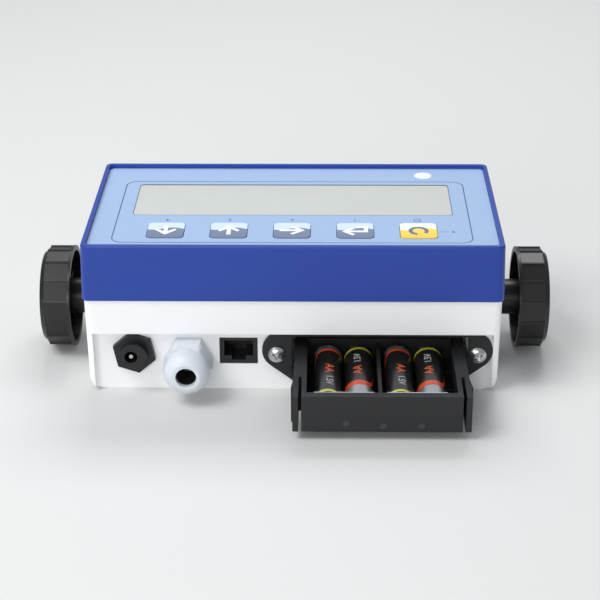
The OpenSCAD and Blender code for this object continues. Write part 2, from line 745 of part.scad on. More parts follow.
// White rear shell with port recess, battery bay and screw posts.
module rear_shell() color(shell_white) placed() difference() {
  union() {
    difference() {
      union() {
        shell_skin();
        for (s = [-1, 1]) along_x([s > 0 ? pad_x - wall : -pad_x, knob_y, knob_z], pad_r, wall);
      }
      shell_cavity();
    }
    block([-recess_hw, back_in, floor_t / 2], [recess_hw, panel_back, roof_z]);
    block([bay_x - bay_hw - wall, recess_y, floor_t / 2], [bay_x + bay_hw + wall, bay_end + wall, roof_z]);
    for (p = posts) along_z([p[0], p[1], over], post_r, part_z - over);
    for (p = main_screws) along_z([p[0], p[1], over], standoff_r, main_z - over);
    for (p = data_screws) along_z([p[0], p[1], over], standoff_r, data_board_z - over);
    for (s = [-1, 1]) {
      along_x([s > 0 ? insert_x : over - pad_x, knob_y, knob_z], boss_r, insert_len - over);
      along_y([plate_x + s * ear_screw_x, recess_y, ear_screw_z], pan_boss_r, pan_len + wall);
    }
  }
  port_cuts();
  block([bay_x - bay_hw, -over, bay_z0], [bay_x + bay_hw, bay_end, bay_z1]);
  for (p = posts) {
    along_z([p[0], p[1], -over], access_r, access_z + over);
    along_z([p[0], p[1], -over], screw_r + screw_gap, part_z + 2 * over);
  }
  for (p = main_screws) along_z([p[0], p[1], main_z - mini_len], mini_r, mini_len + over);
  for (p = data_screws) along_z([p[0], p[1], data_board_z - mini_len], mini_r, mini_len + over);
  for (s = [-1, 1]) {
    along_x([s > 0 ? insert_x - over : -pad_x - over, knob_y, knob_z], insert_r, insert_len + 2 * over);
    along_y([plate_x + s * ear_screw_x, recess_y - over, ear_screw_z], screw_r, pan_len + over);
  }
  gasket_groove(gasket_w, gasket_t);
}

// Hollow of the shell, stepped in near the floor for the rounded back edges.
module shell_cavity() {
  plate([0, case_d / 2, back_r + edge_bevel], inner_w - 2 * back_in, inner_d - 2 * back_in, part_z, corner_r);
  plate([0, case_d / 2, floor_t], inner_w - 2 * back_in - 2 * low_in, inner_d - 2 * back_in, part_z,
    corner_r);
}

// Port recess with its openings.
module port_cuts() {
  ear_gap = recess_hw - plate_x - ear_x;
  fillet_x = recess_hw - recess_r;
  translate([0, 0, -over]) linear_extrude(recess_z + over) {
    translate([-fillet_x, -over]) square([2 * fillet_x, recess_y + over]);
    translate([-recess_hw, -over]) square([2 * recess_hw, recess_y - recess_r + over]);
    for (x = [-fillet_x, fillet_x]) translate([x, recess_y - recess_r]) circle(recess_r);
  }
  intersection() {
    along_y([plate_x + ear_x, -over, ear_z], ear_gap, recess_y + over);
    block([0, -over, 0], [recess_hw, recess_y, recess_z]);
  }
  along_y([jack_x, 0, jack_z], jack_thread_r + hole_gap, panel_back + over);
  along_y([gland_x, 0, gland_z], gland_thread_r + hole_gap, panel_back + over);
  block([data_x - data_w / 2 - data_gap, 0, data_z - data_h / 2 - data_gap],
    [data_x + data_w / 2 + data_gap, panel_back + over, data_z + data_h / 2 + data_gap]);
}

// Ring that follows the seam, for the gasket or its groove.
module gasket_groove(w, t) {
  ring_w_out = case_w - wall;
  ring_d_out = case_d - wall;
  translate([0, case_d / 2, part_z - t]) linear_extrude(t + seam_gap) difference() {
    rounded(ring_w_out + w, ring_d_out + w, corner_r);
    rounded(ring_w_out - w, ring_d_out - w, corner_r - w);
  }
}

// Seam gasket between shell and bezel.
module seam_gasket() color(black) placed() gasket_groove(gasket_w, gasket_t);

// Four case screws, deep in the shell's posts.
module case_screws() color(steel) placed() for (p = posts) difference() {
  union() {
    along_z([p[0], p[1], access_z - head_h], head_r, head_h);
    along_z([p[0], p[1], access_z - head_h / 2], screw_r, screw_len + head_h / 2);
  }
  translate([p[0], p[1], access_z - head_h]) mirror([0, 0, 1])
    cross_cut(cross_len * head_r / pan_r, cross_deep);
}

// Four brass inserts in the bezel's bosses.
module bezel_inserts() color(brass_gold) placed() for (p = posts) difference() {
  along_z([p[0], p[1], part_z + seam_gap], brass_r, brass_len);
  along_z([p[0], p[1], part_z], screw_r, brass_len + over);
}

// Main board above the battery bay.
module main_board() color(board_green) placed() difference() {
  block([-main_x - board_margin, main_y - board_margin, main_z],
    [main_x + board_margin, main_far_y + board_margin, main_z + board_t]);
  for (p = main_screws) along_z([p[0], p[1], main_z - over], mini_r + screw_gap, board_t + 2 * over);
}

// Four screws of the main board.
module main_board_screws() color(steel) placed()
  for (p = main_screws) translate([p[0], p[1], main_z + board_t]) mirror([0, 0, 1]) board_screw([0, 0, 0]);

// Processor, converter and memory chips on the main board.
module board_chips() color(black) placed() for (i = [0:2])
  plate([(i - 1) * chip_pitch, main_y + chip_pitch / 2, main_z + board_t], chip_w - i * chip_h,
    chip_w - i * chip_h, chip_h, chip_h / 2);

// Round sounder on the main board.
module buzzer() color(black) placed() difference() {
  along_z([main_x - chip_w, main_y + chip_w, main_z + board_t], buzzer_r, buzzer_h);
  along_z([main_x - chip_w, main_y + chip_w, main_z + board_t + buzzer_h / 2], clamp_hole_r, buzzer_h);
}

// Clamp for the sensor lead on the main board.
module lead_clamp() color(key_blue) placed() difference() {
  clamp_at = [gland_x - clamp_w / 2, main_y, main_z + board_t];
  translate(clamp_at) cube([clamp_w, clamp_d, clamp_h]);
  for (i = [0:clamp_n - 1]) translate(clamp_at) translate([(i + 0.5) * clamp_w / clamp_n, 0, 0]) {
    along_y([0, -over, clamp_h / 3], clamp_hole_r, clamp_d / 2 + over);
    along_z([0, clamp_d / 2, clamp_h * 2 / 3], clamp_hole_r, clamp_h);
  }
}

// Ribbon cable between the two boards, and its two sockets.
module ribbon_cable() color(ribbon_grey) placed()
  block([-ribbon_w / 2, ribbon_y - ribbon_t / 2, main_z + board_t + header_h / 2],
    [ribbon_w / 2, ribbon_y + ribbon_t / 2, board_z - board_t - header_h / 2]);
module ribbon_sockets() color(black) placed() difference() {
  for (z = [main_z + board_t, board_z - board_t - header_h])
    block([-ribbon_w / 2 - header_d / 2, ribbon_y - header_d / 2, z],
      [ribbon_w / 2 + header_d / 2, ribbon_y + header_d / 2, z + header_h]);
  block([-ribbon_w / 2 - film_gap, ribbon_y - ribbon_t / 2 - film_gap, main_z + board_t + header_h / 2],
    [ribbon_w / 2 + film_gap, ribbon_y + ribbon_t / 2 + film_gap, board_z - board_t - header_h / 2]);
}

// Power socket: nose, hexagon on the panel and thread through it, with the inlet from the front.
module power_socket() color(black) placed() difference() {
  face_y = recess_y - jack_hex_t - jack_nose;
  union() {
    hex_y([jack_x, recess_y - jack_hex_t, jack_z], jack_flats, jack_hex_t, jack_turn);
    along_y([jack_x, face_y, jack_z], jack_nose_r, jack_nose + jack_hex_t);
    along_y([jack_x, recess_y - over, jack_z], jack_thread_r, jack_tail + over);
  }
  along_y([jack_x + jack_off, face_y - over, jack_z], inlet_r, inlet_deep + over);
  along_y([jack_x + jack_off, face_y, jack_z], pin_r, inlet_deep + over);
}

// Centre pin of the power socket.
module power_pin() color(steel) placed() {
  face_y = recess_y - jack_hex_t - jack_nose;
  along_y([jack_x + jack_off, face_y + pin_back, jack_z], pin_r, inlet_deep + over - pin_back);
}

// Nut of the power socket behind the panel.
module power_nut() color(steel) placed() difference() {
  hex_y([jack_x, panel_back, jack_z], jack_nut_flats, nut_t, 0);
  along_y([jack_x, panel_back - over, jack_z], jack_thread_r, nut_t + 2 * over);
}

// Gland body: hexagon on the panel, thread through it and neck for the domed nut.
module gland_body() color(gland_grey) placed() difference() {
  union() {
    hex_y([gland_x, recess_y - gland_hex_t, gland_z], gland_flats, gland_hex_t, 0);
    along_y([gland_x, nut_back - gland_hex_t, gland_z], gland_thread_r, gland_hex_t * 3 / 2);
    along_y([gland_x, recess_y - over, gland_z], gland_thread_r, gland_tail + over);
  }
  along_y([gland_x, dome_front, gland_z], gland_bore_r, gland_len + gland_tail + over);
}

// Domed nut that squeezes the seal onto the cable.
module gland_nut() color(gland_grey) placed() {
  neck_y = nut_back - gland_hex_t - turn_gap;
  difference() {
    union() {
      translate([gland_x, dome_front, gland_z]) rotate([-90, 0, 0]) rotate_extrude() dome_outline();
      intersection() {
        hex_y([gland_x, dome_back, gland_z], grip_flats, nut_back - dome_back, 0);
        along_y([gland_x, dome_back, gland_z], grip_corner_r, nut_back - dome_back);
      }
    }
    along_y([gland_x, dome_front - over, gland_z], cable_r, gland_len);
    along_y([gland_x, neck_y - seal_len, gland_z], gland_bore_r + turn_gap, gland_len);
    along_y([gland_x, neck_y, gland_z], gland_thread_r + turn_gap, gland_len);
  }
}

// Half outline of the domed nut: flat tip and one arc from there out to the straight skirt.
module dome_outline() {
  reach = dome_r - tip_r;
  arc_r = (reach * reach + dome_len * dome_len) / (2 * reach);
  translate([0, dome_len]) square([dome_r, dome_len / 4]);
  intersection() {
    square([dome_r, dome_len + over]);
    translate([dome_r - arc_r, dome_len]) circle(arc_r);
  }
}

// Rubber seal inside the gland.
module gland_seal() color(black) placed() difference() {
  neck_y = nut_back - gland_hex_t - turn_gap;
  along_y([gland_x, neck_y - seal_len + turn_gap, gland_z], gland_bore_r - turn_gap, seal_len + gland_hex_t);
  along_y([gland_x, dome_front, gland_z], cable_r - turn_gap, gland_len);
}

// Gland's lock nut behind the panel.
module gland_lock_nut() color(gland_grey) placed() difference() {
  hex_y([gland_x, panel_back, gland_z], gland_nut_flats, nut_t, 0);
  along_y([gland_x, panel_back - over, gland_z], gland_thread_r, nut_t + 2 * over);
}

// Data socket with mouth, latch slot and contact slots.
module data_socket() color(black) placed() {
  front = recess_y + data_gap;
  mouth_top = data_z + data_h / 2 - mouth_roof;
  difference() {
    block([data_x - data_w / 2, front, data_z - data_h / 2],
      [data_x + data_w / 2, front + data_len, data_z + data_h / 2]);
    block([data_x - mouth_w / 2, front - over, mouth_top - mouth_h],
      [data_x + mouth_w / 2, front + mouth_deep, mouth_top]);
    block([data_x - latch_w / 2, front - over, mouth_top - mouth_h - latch_h],
      [data_x + latch_w / 2, front + mouth_deep, mouth_top]);
  }
}

// Data contacts that hang from the roof of the mouth.
module data_contacts() color(brass_gold) placed() {
  mouth_top = data_z + data_h / 2 - mouth_roof;
  back = recess_y + data_gap + mouth_deep;
  for (i = [0:contact_n - 1]) {
    contact_x = data_x + (i - (contact_n - 1) / 2) * contact_pitch;
    block([contact_x - contact_t / 2, back - contact_len, mouth_top - contact_drop],
      [contact_x + contact_t / 2, back, mouth_top]);
  }
}

// Board under the data socket, with its two screws.
module data_board() color(board_green) placed() difference() {
  block([data_x - port_screw_x - board_margin, panel_back + film_gap, data_board_z],
    [data_x + port_screw_x + board_margin, panel_back + data_len + board_margin, data_board_z + board_t]);
  for (p = data_screws) along_z([p[0], p[1], data_board_z - over], mini_r + screw_gap, board_t + 2 * over);
}
module data_board_screws() color(steel) placed()
  for (p = data_screws)
    translate([p[0], p[1], data_board_z + board_t]) mirror([0, 0, 1]) board_screw([0, 0, 0]);

// Frame plate around the battery bay, with two ears for its screws.
module bay_frame() color(tray_grey) placed() difference() {
  translate([0, recess_y, 0]) rotate([90, 0, 0]) linear_extrude(bay_plate_t) difference() {
    intersection() {
      bay_outline();
      translate([-case_w, plate_z0]) square([2 * case_w, recess_z - plate_gap - plate_z0]);
    }
    translate([bay_x - bay_hw, 0]) square([2 * bay_hw, bay_z1]);
  }
  for (s = [-1, 1]) along_y([plate_x + s * ear_screw_x, recess_y - bay_plate_t - over, ear_screw_z],
    screw_r + screw_gap, bay_plate_t + 2 * over);
}

// Outline of the frame plate: two round ears and the sloped lower edges that touch them.
module bay_outline() {
  touch_x = ear_x + ear_r * sin(ear_angle);
  touch_z = ear_z - ear_r * cos(ear_angle);
  foot_x = touch_x - (touch_z - plate_z0) / tan(ear_angle);
  translate([plate_x, 0]) {
    for (s = [-1, 1]) translate([s * ear_x, ear_z]) circle(ear_r);
    polygon([[-foot_x, plate_z0], [foot_x, plate_z0], [touch_x, touch_z], [ear_x, recess_z],
      [-ear_x, recess_z], [-touch_x, touch_z]]);
  }
}

// Two pan head screws of the frame plate.
module bay_screws() color(steel) placed() for (s = [-1, 1])
  translate([plate_x + s * ear_screw_x, recess_y - bay_plate_t, ear_screw_z]) rotate([90, 0, 0])
  difference() {
    union() {
      cylinder(h = pan_h - edge_bevel, r = pan_r);
      cylinder(h = pan_h, r = pan_r - edge_bevel);
      translate([0, 0, -pan_len + pan_h]) cylinder(h = pan_len - pan_h / 2, r = screw_r);
    }
    translate([0, 0, pan_h]) cross_cut(cross_len, cross_deep);
  }

// Two leaf contacts on the bay's back wall; the closed drawer's terminals reach them.
module bay_contacts() color(brass_gold) placed() {
  reach_y = tray_end + drawer_travel + terminal_t + terminal_gap;
  for (s = [-1, 1])
    block([bay_x + s * terminal_x - terminal_w / 2, reach_y, cell_z - terminal_w / 2],
      [bay_x + s * terminal_x + terminal_w / 2, bay_end, cell_z + terminal_w / 2]);
}

// Drawer's outline in the top view: body, narrower front wall and the spaces of the latch fingers.
module drawer_outline() {
  translate([bay_x - drawer_hw, finger_y]) square([2 * drawer_hw, drawer_len - finger_len]);
  translate([bay_x - front_hw, tray_y]) square([2 * front_hw, drawer_len / 2]);
}

// Battery drawer, pulled out: tray with cradle ribs, divider and slits for the fingers.
module battery_drawer() color(tray_grey) placed() difference() {
  translate([0, 0, drawer_z0]) linear_extrude(drawer_h) drawer_outline();
  difference() {
    block([bay_x - inner_hw, tray_y + front_t, drawer_z0 + tray_t],
      [bay_x + inner_hw, tray_in_end, drawer_z0 + drawer_h + over]);
    for (i = [0:rib_n - 1]) translate([bay_x - drawer_hw, tray_y + rib_y + i * rib_pitch - rib_t / 2, 0])
      cube([2 * drawer_hw, rib_t, drawer_z0 + tray_t + rib_h]);
    translate([cell_x - divider_t / 2, tray_y, 0])
      cube([divider_t, drawer_len, drawer_z0 + drawer_h - divider_drop]);
  }
  for (x = cell_xs) along_y([x, tray_y + front_t, cell_z], cell_r + cell_gap, tray_in_end - tray_y - front_t);
}

// Latch finger in the top view, right side, from its root to the drawer's front.
module finger_outline() polygon([
  [finger_in, finger_y - root_gap], [finger_in, tray_y], [hook_hw - hook_step, tray_y],
  [hook_hw - hook_step, tray_y + hook_y], [hook_hw, tray_y + hook_y],
  [drawer_hw, finger_y - finger_in / drawer_hw * root_gap - hook_step], [drawer_hw, finger_y - root_gap]]);

// Latch fingers at the drawer's two sides.
module finger(side) color(tray_grey) placed() translate([bay_x, 0, drawer_z0])
  linear_extrude(drawer_h) mirror([side < 0 ? 1 : 0, 0]) finger_outline();
module finger_left() finger(-1);
module finger_right() finger(1);

// One round cell; its nub points to the port side or away.
module cell(n, nub_front, tint) color(tint) placed() {
  can_len = cell_len - nub_len;
  nub_y = nub_front ? cell_y : cell_y + can_len - nub_len;
  along_y([cell_xs[n], nub_front ? cell_y + nub_len : cell_y, cell_z], cell_r, can_len);
  along_y([cell_xs[n], nub_y, cell_z], nub_r, 2 * nub_len);
}
module cell_1() cell(0, true, cell_green);
module cell_2() cell(1, false, cell_red);
module cell_3() cell(2, true, cell_green);
module cell_4() cell(3, false, cell_red);

// Two contact plates on the drawer's front wall, each for one pair of cells.
module front_contacts() color(steel) placed() for (s = [-1, 1]) {
  pair_x = cell_x + s * (cell_near + cell_far) / 2;
  block([pair_x - contact_plate_w / 2, tray_y + front_t, drawer_z0 + drawer_h - contact_plate_h],
    [pair_x + contact_plate_w / 2, tray_y + front_t + contact_plate_t, drawer_z0 + drawer_h]);
}

// Contact springs behind the cells whose flat ends point to the back wall.
module rear_springs() color(steel) placed() {
  depth = tray_in_end - cell_end - 2 * film_gap;
  for (n = [0, 2]) translate([cell_xs[n], cell_end + film_gap, cell_z]) rotate([-90, 0, 0]) {
    rotate_extrude() for (i = [0:spring_n - 1])
      translate([spring_r - spring_wire_r, spring_wire_r + i * (depth - 2 * spring_wire_r) / (spring_n - 1)])
        circle(spring_wire_r);
    for (s = [-1, 1]) translate([s * (spring_r - spring_wire_r) - spring_wire_r / 2, -spring_wire_r / 2,
      spring_wire_r]) cube([spring_wire_r, spring_wire_r, depth - 2 * spring_wire_r]);
  }
}

// Contact plates behind the cells whose nubs point to the back wall.
module rear_plates() color(steel) placed() for (n = [1, 3])
  block([cell_xs[n] - spring_r, cell_end + film_gap, cell_z - spring_r],
    [cell_xs[n] + spring_r, tray_in_end, cell_z + spring_r]);

// Two terminals on the drawer's back face.
module rear_terminals() color(brass_gold) placed() for (s = [-1, 1])
  block([bay_x + s * terminal_x - terminal_w / 2, tray_end, cell_z - terminal_w / 2],
    [bay_x + s * terminal_x + terminal_w / 2, tray_end + terminal_t, cell_z + terminal_w / 2]);

// Places a piece of the right clamp on its axis; the left one is its mirror image.
module clamp(side) placed() translate([0, knob_y, knob_z]) mirror([side < 0 ? 1 : 0, 0, 0]) children();

// Threaded inserts in the two side bosses.
module wall_inserts() for (s = [-1, 1]) color(brass_gold) clamp(s) difference() {
  along_x([insert_x, 0, 0], insert_r, insert_len);
  along_x([insert_x - over, 0, 0], stud_r + stud_gap, insert_len + 2 * over);
}

// Rubber washers against the case.
module rubber_washers() for (s = [-1, 1]) color(black) clamp(s) difference() {
  along_x([pad_x, 0, 0], hub_r, rubber_t);
  along_x([pad_x - over, 0, 0], stud_r + washer_hole_gap, rubber_t + 2 * over);
}

// Steel washers between rubber washer and knob.
module steel_washer(side) color(steel) clamp(side) difference() {
  along_x([pad_x + rubber_t + washer_gap, 0, 0], hub_r, washer_t);
  along_x([pad_x, 0, 0], stud_r + stud_gap, rubber_t + washer_t + over);
}
module washer_left() steel_washer(-1);
module washer_right() steel_washer(1);

// Facets of the grip with a thin rib on each corner.
module grip_outline() polygon([for (i = [0:facet_n - 1], k = [[-1, 0], [-1, 1], [1, 1], [1, 0]])
  let (a = 90 + i * 360 / facet_n + k[0] * rib_angle / 2, r = facet_r + k[1] * rib_rise)
    [r * cos(a), r * sin(a)]]);

// Clamp knob: ribbed cup with hub and webs, open towards the case.
module knob(side) color(black) clamp(side) {
  shell_out = knob_out - face_t;
  end_foot_r = facet_r * cos(180 / facet_n) - rib_rise;
  difference() {
    union() {
      along_x([knob_in, 0, 0], knob_r, ring_w);
      translate([knob_in + ring_w, 0, 0]) rotate([90, 0, 90]) linear_extrude(grip_w) grip_outline();
      translate([knob_in + ring_w + grip_w, 0, 0]) rotate([0, 90, 0]) rotate_extrude()
        polygon([[0, -over], [end_foot_r, -over], [end_foot_r, 0], [end_r, end_w], [0, end_w]]);
    }
    along_x([knob_in - over, 0, 0], facet_r - grip_wall, shell_out - knob_in + over);
  }
  difference() {
    union() {
      along_x([hub_x, 0, 0], hub_r, shell_out - hub_x + over);
      for (i = [0:web_n - 1]) rotate([i * 360 / web_n, 0, 0])
        translate([knob_in + web_back, -web_t / 2, hub_r / 2])
          cube([shell_out - knob_in - web_back + over, web_t, facet_r - grip_wall / 2 - hub_r / 2]);
    }
    along_x([hub_x - over, 0, 0], stud_r, stud_deep + over);
  }
}
module knob_left() knob(-1);
module knob_right() knob(1);

// Threaded studs held in the knobs.
module stud(side) color(steel) clamp(side) along_x([hub_x - stud_len, 0, 0], stud_r, stud_len + stud_deep);
module stud_left() stud(-1);
module stud_right() stud(1);

front_bezel();
panel_overlay();
display_window();
display_frame();
display_glass();
backlight();
key_1();
key_2();
key_3();
key_4();
key_5();
key_switches();
switch_board();
switch_board_screws();
rear_shell();
seam_gasket();
case_screws();
bezel_inserts();
main_board();
main_board_screws();
board_chips();
buzzer();
lead_clamp();
ribbon_cable();
ribbon_sockets();
power_socket();
power_pin();
power_nut();
gland_body();
gland_nut();
gland_seal();
gland_lock_nut();
data_socket();
data_contacts();
data_board();
data_board_screws();
bay_frame();
bay_screws();
bay_contacts();
battery_drawer();
finger_left();
finger_right();
cell_1();
cell_2();
cell_3();
cell_4();
front_contacts();
rear_springs();
rear_plates();
rear_terminals();
wall_inserts();
rubber_washers();
washer_left();
washer_right();
knob_left();
knob_right();
stud_left();
stud_right();
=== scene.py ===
"""Looks of the weighing indicator: finishes, printed marks, cells, screws, light and camera."""

from __future__ import annotations

import json
import logging
import math
from collections.abc import Callable, Sequence
from dataclasses import dataclass, field
from enum import Enum

import bmesh
import bpy
from mathutils import Matrix, Vector

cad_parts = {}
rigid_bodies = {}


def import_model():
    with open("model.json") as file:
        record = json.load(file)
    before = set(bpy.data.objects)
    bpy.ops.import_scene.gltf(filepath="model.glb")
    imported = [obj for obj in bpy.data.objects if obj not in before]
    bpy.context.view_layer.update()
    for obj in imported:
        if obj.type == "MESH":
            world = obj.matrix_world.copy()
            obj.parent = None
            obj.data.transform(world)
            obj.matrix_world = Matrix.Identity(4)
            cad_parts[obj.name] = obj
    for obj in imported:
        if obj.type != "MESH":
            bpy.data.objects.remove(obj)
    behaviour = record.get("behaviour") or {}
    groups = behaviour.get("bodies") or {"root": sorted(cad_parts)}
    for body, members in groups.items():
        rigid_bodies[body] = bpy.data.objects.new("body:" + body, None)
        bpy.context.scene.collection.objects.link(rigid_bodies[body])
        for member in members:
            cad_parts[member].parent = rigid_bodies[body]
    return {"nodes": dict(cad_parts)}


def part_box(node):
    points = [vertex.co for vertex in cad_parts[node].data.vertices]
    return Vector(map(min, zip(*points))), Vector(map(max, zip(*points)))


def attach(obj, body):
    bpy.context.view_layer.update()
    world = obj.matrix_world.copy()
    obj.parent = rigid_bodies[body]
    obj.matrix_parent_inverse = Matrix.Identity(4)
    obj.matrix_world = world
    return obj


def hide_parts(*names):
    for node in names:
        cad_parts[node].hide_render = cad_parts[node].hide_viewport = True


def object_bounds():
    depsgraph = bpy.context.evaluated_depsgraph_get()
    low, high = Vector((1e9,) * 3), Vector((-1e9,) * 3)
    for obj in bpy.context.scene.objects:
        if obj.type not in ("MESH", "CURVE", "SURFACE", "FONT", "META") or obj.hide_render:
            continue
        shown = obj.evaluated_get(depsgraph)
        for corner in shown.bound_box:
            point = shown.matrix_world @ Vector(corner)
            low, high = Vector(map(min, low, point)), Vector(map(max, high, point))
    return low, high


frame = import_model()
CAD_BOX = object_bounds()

log = logging.getLogger("weighing_indicator")
MM = 0.001
PRINT_T = 0.04
Colour = tuple[float, float, float]
Point = tuple[float, float, float]
Flat = tuple[float, float]
CASE_MID = 23.2
LETTER_RATIO = 1.38


def srgb(red: int, green: int, blue: int) -> Colour:
    """Turns a colour as it is seen, 0 to 255, into the linear one that a shader takes.

    Args:
        red: Red share, 0 to 255.
        green: Green share, 0 to 255.
        blue: Blue share, 0 to 255.

    Returns:
        The linear red, green and blue.
    """
    def linear(value: int) -> float:
        """Undoes the display curve for one share."""
        v = value / 255
        return v / 12.92 if v <= 0.04045 else ((v + 0.055) / 1.055) ** 2.4

    return linear(red), linear(green), linear(blue)


class Value:
    """A number socket that takes part in Python expressions; each operator adds one Math node."""

    def __init__(self, sheet: "ShaderSheet", source: bpy.types.NodeSocket | float) -> None:
        """Wraps an output socket or a plain number.

        Args:
            sheet: The material's node sheet.
            source: An output socket, or a number.
        """
        self.sheet = sheet
        self.source = source

    def _math(self, operation: str, *others: "Value | float") -> "Value":
        """Adds a Math node on this value.

        Args:
            operation: The Math node's operation.
            *others: The other inputs.

        Returns:
            The node's result.
        """
        inputs = {i: v for i, v in enumerate((self, *others))}
        return self.sheet.value("ShaderNodeMath", {"operation": operation}, inputs)

    def __add__(self, other: "Value | float") -> "Value":
        """Adds."""
        return self._math("ADD", other)

    def __sub__(self, other: "Value | float") -> "Value":
        """Subtracts."""
        return self._math("SUBTRACT", other)

    def __rsub__(self, other: float) -> "Value":
        """Subtracts from a number."""
        return Value(self.sheet, other)._math("SUBTRACT", self)

    def __mul__(self, other: "Value | float") -> "Value":
        """Multiplies."""
        return self._math("MULTIPLY", other)

    def __truediv__(self, other: "Value | float") -> "Value":
        """Divides."""
        return self._math("DIVIDE", other)

    def __abs__(self) -> "Value":
        """Drops the sign."""
        return self._math("ABSOLUTE")

    __radd__ = __add__
    __rmul__ = __mul__

    def sine(self) -> "Value":
        """Takes the sine."""
        return self._math("SINE")

    def arc(self, other: "Value") -> "Value":
        """Takes the angle of this value over another."""
        return self._math("ARCTAN2", other)

    def least(self, other: "Value | float") -> "Value":
        """Takes the smaller of two values."""
        return self._math("MINIMUM", other)

    def most(self, other: "Value | float") -> "Value":
        """Takes the greater of two values."""
        return self._math("MAXIMUM", other)

    def step(self, edge: float, soft: float) -> "Value":
        """Rises from 0 to 1 round an edge.

        Args:
            edge: Where the step's middle is.
            soft: Half the width over which it rises.

        Returns:
            The mask, 0 below the edge and 1 above it.
        """
        return self.sheet.value("ShaderNodeMapRange", {"clamp": True},
                                {"Value": self, "From Min": edge - soft, "From Max": edge + soft})


class ShaderSheet:
    """One material's node sheet, with the few calls that the finishes need."""

    def __init__(self, name: str) -> None:
        """Makes a material with a Principled shader and nothing else.

        Args:
            name: The material's name.
        """
        self.material = bpy.data.materials.new(name)
        self.material.use_nodes = True
        self.tree = self.material.node_tree
        self.tree.nodes.clear()
        self.shader = self.tree.nodes.new("ShaderNodeBsdfPrincipled")
        output = self.tree.nodes.new("ShaderNodeOutputMaterial")
        self.tree.links.new(self.shader.outputs[0], output.inputs["Surface"])
        self._place: bpy.types.NodeSocket | None = None

    def node(self, kind: str, settings: dict[str, object], inputs: dict[object, object]) -> bpy.types.Node:
        """Adds any node: its settings first, then its sockets.

        Args:
            kind: The node's type.
            settings: Attributes such as the operation.
            inputs: Socket name or number to a number, colour, Value or output socket.

        Returns:
            The new node.
        """
        made = self.tree.nodes.new(kind)
        for key, setting in settings.items():
            setattr(made, key, setting)
        for key, given in inputs.items():
            socket = made.inputs[key]
            given = given.source if isinstance(given, Value) else given
            if isinstance(given, bpy.types.NodeSocket):
                self.tree.links.new(given, socket)
            else:
                socket.default_value = given
        return made

    def value(self, kind: str, settings: dict[str, object], inputs: dict[object, object]) -> Value:
        """Adds a node and wraps its first output.

        Args:
            kind: The node's type.
            settings: Attributes such as the operation.
            inputs: As for node().

        Returns:
            The wrapped output.
        """
        return Value(self, self.node(kind, settings, inputs).outputs[0])

    def place(self) -> bpy.types.NodeSocket:
        """Gives the point on the object, in metres."""
        if self._place is None:
            self._place = self.node("ShaderNodeTexCoord", {}, {}).outputs["Object"]
        return self._place

    def axes(self, at: Point = (0, 0, 0)) -> tuple[Value, Value, Value]:
        """Gives the point's three coordinates from a place, in millimetres.

        Args:
            at: The place that counts as zero, in millimetres.

        Returns:
            The x, y and z values.
        """
        split = self.node("ShaderNodeSeparateXYZ", {}, {0: self.place()})
        return tuple(Value(self, split.outputs[i]) * (1 / MM) - at[i] for i in range(3))

    def noise(self, size_mm: float, detail: float = 2, stretch: Point = (1, 1, 1)) -> Value:
        """Gives noise whose spots are about one size.

        Args:
            size_mm: Size of a spot.
            detail: Number of finer layers.
            stretch: Factor on the frequency along each axis.

        Returns:
            A value round 0.5.
        """
        point = self.node("ShaderNodeMapping", {"vector_type": "POINT"},
                          {"Vector": self.place(), "Scale": stretch})
        return self.value("ShaderNodeTexNoise", {}, {"Vector": point.outputs[0], "Scale": 1 / (size_mm * MM),
                                                     "Detail": detail})

    def mix(self, mask: Value | float, low: object, high: object) -> bpy.types.NodeSocket:
        """Mixes two colours.

        Args:
            mask: 0 gives the first colour and 1 the second.
            low: Colour or colour socket.
            high: Colour or colour socket.

        Returns:
            The mixed colour's socket.
        """
        made = self.node("ShaderNodeMix", {"data_type": "RGBA"}, {0: mask})
        for number, given in ((6, low), (7, high)):
            if isinstance(given, bpy.types.NodeSocket):
                self.tree.links.new(given, made.inputs[number])
            else:
                made.inputs[number].default_value = (*given, 1)
        return made.outputs[2]

    def rounded_normal(self, radius_mm: float) -> bpy.types.NodeSocket:
        """Gives the normal of edges rounded by a radius.

        Args:
            radius_mm: The rounding's radius.

        Returns:
            The normal's socket.
        """
        return self.node("ShaderNodeBevel", {"samples": 4}, {"Radius": radius_mm * MM}).outputs[0]

    def bump(self, height: Value, depth_mm: float, normal: bpy.types.NodeSocket | None = None) -> None:
        """Feeds the shader's normal from a height.

        Args:
            height: The height as 0 to 1.
            depth_mm: What 1 stands for.
            normal: The normal to start from.
        """
        inputs = {"Height": height, "Distance": depth_mm * MM, "Strength": 1.0}
        if normal is not None:
            inputs["Normal"] = normal
        made = self.node("ShaderNodeBump", {}, inputs)
        self.tree.links.new(made.outputs[0], self.shader.inputs["Normal"])

    def feed(self, **given: object) -> None:
        """Sets or links the shader's sockets; base_color stands for Base Color and so on.

        Args:
            **given: Socket name in lower case to a number, colour, Value or socket.
        """
        for key, item in given.items():
            socket = self.shader.inputs[key.replace("_", " ").title()]
            item = item.source if isinstance(item, Value) else item
            if isinstance(item, bpy.types.NodeSocket):
                self.tree.links.new(item, socket)
            elif isinstance(item, tuple):
                socket.default_value = (*item, 1)
            else:
                socket.default_value = item


@dataclass(frozen=True)
class Finish:
    """A finish; each kind feeds the node sheet of its material in its own way."""

    name: str

    def paint(self, sheet: ShaderSheet) -> None:
        """Feeds the sheet.

        Args:
            sheet: The material's node sheet.
        """
        raise NotImplementedError

    def material(self) -> bpy.types.Material:
        """Builds the material.

        Returns:
            The finished material.
        """
        sheet = ShaderSheet(self.name)
        self.paint(sheet)
        return sheet.material


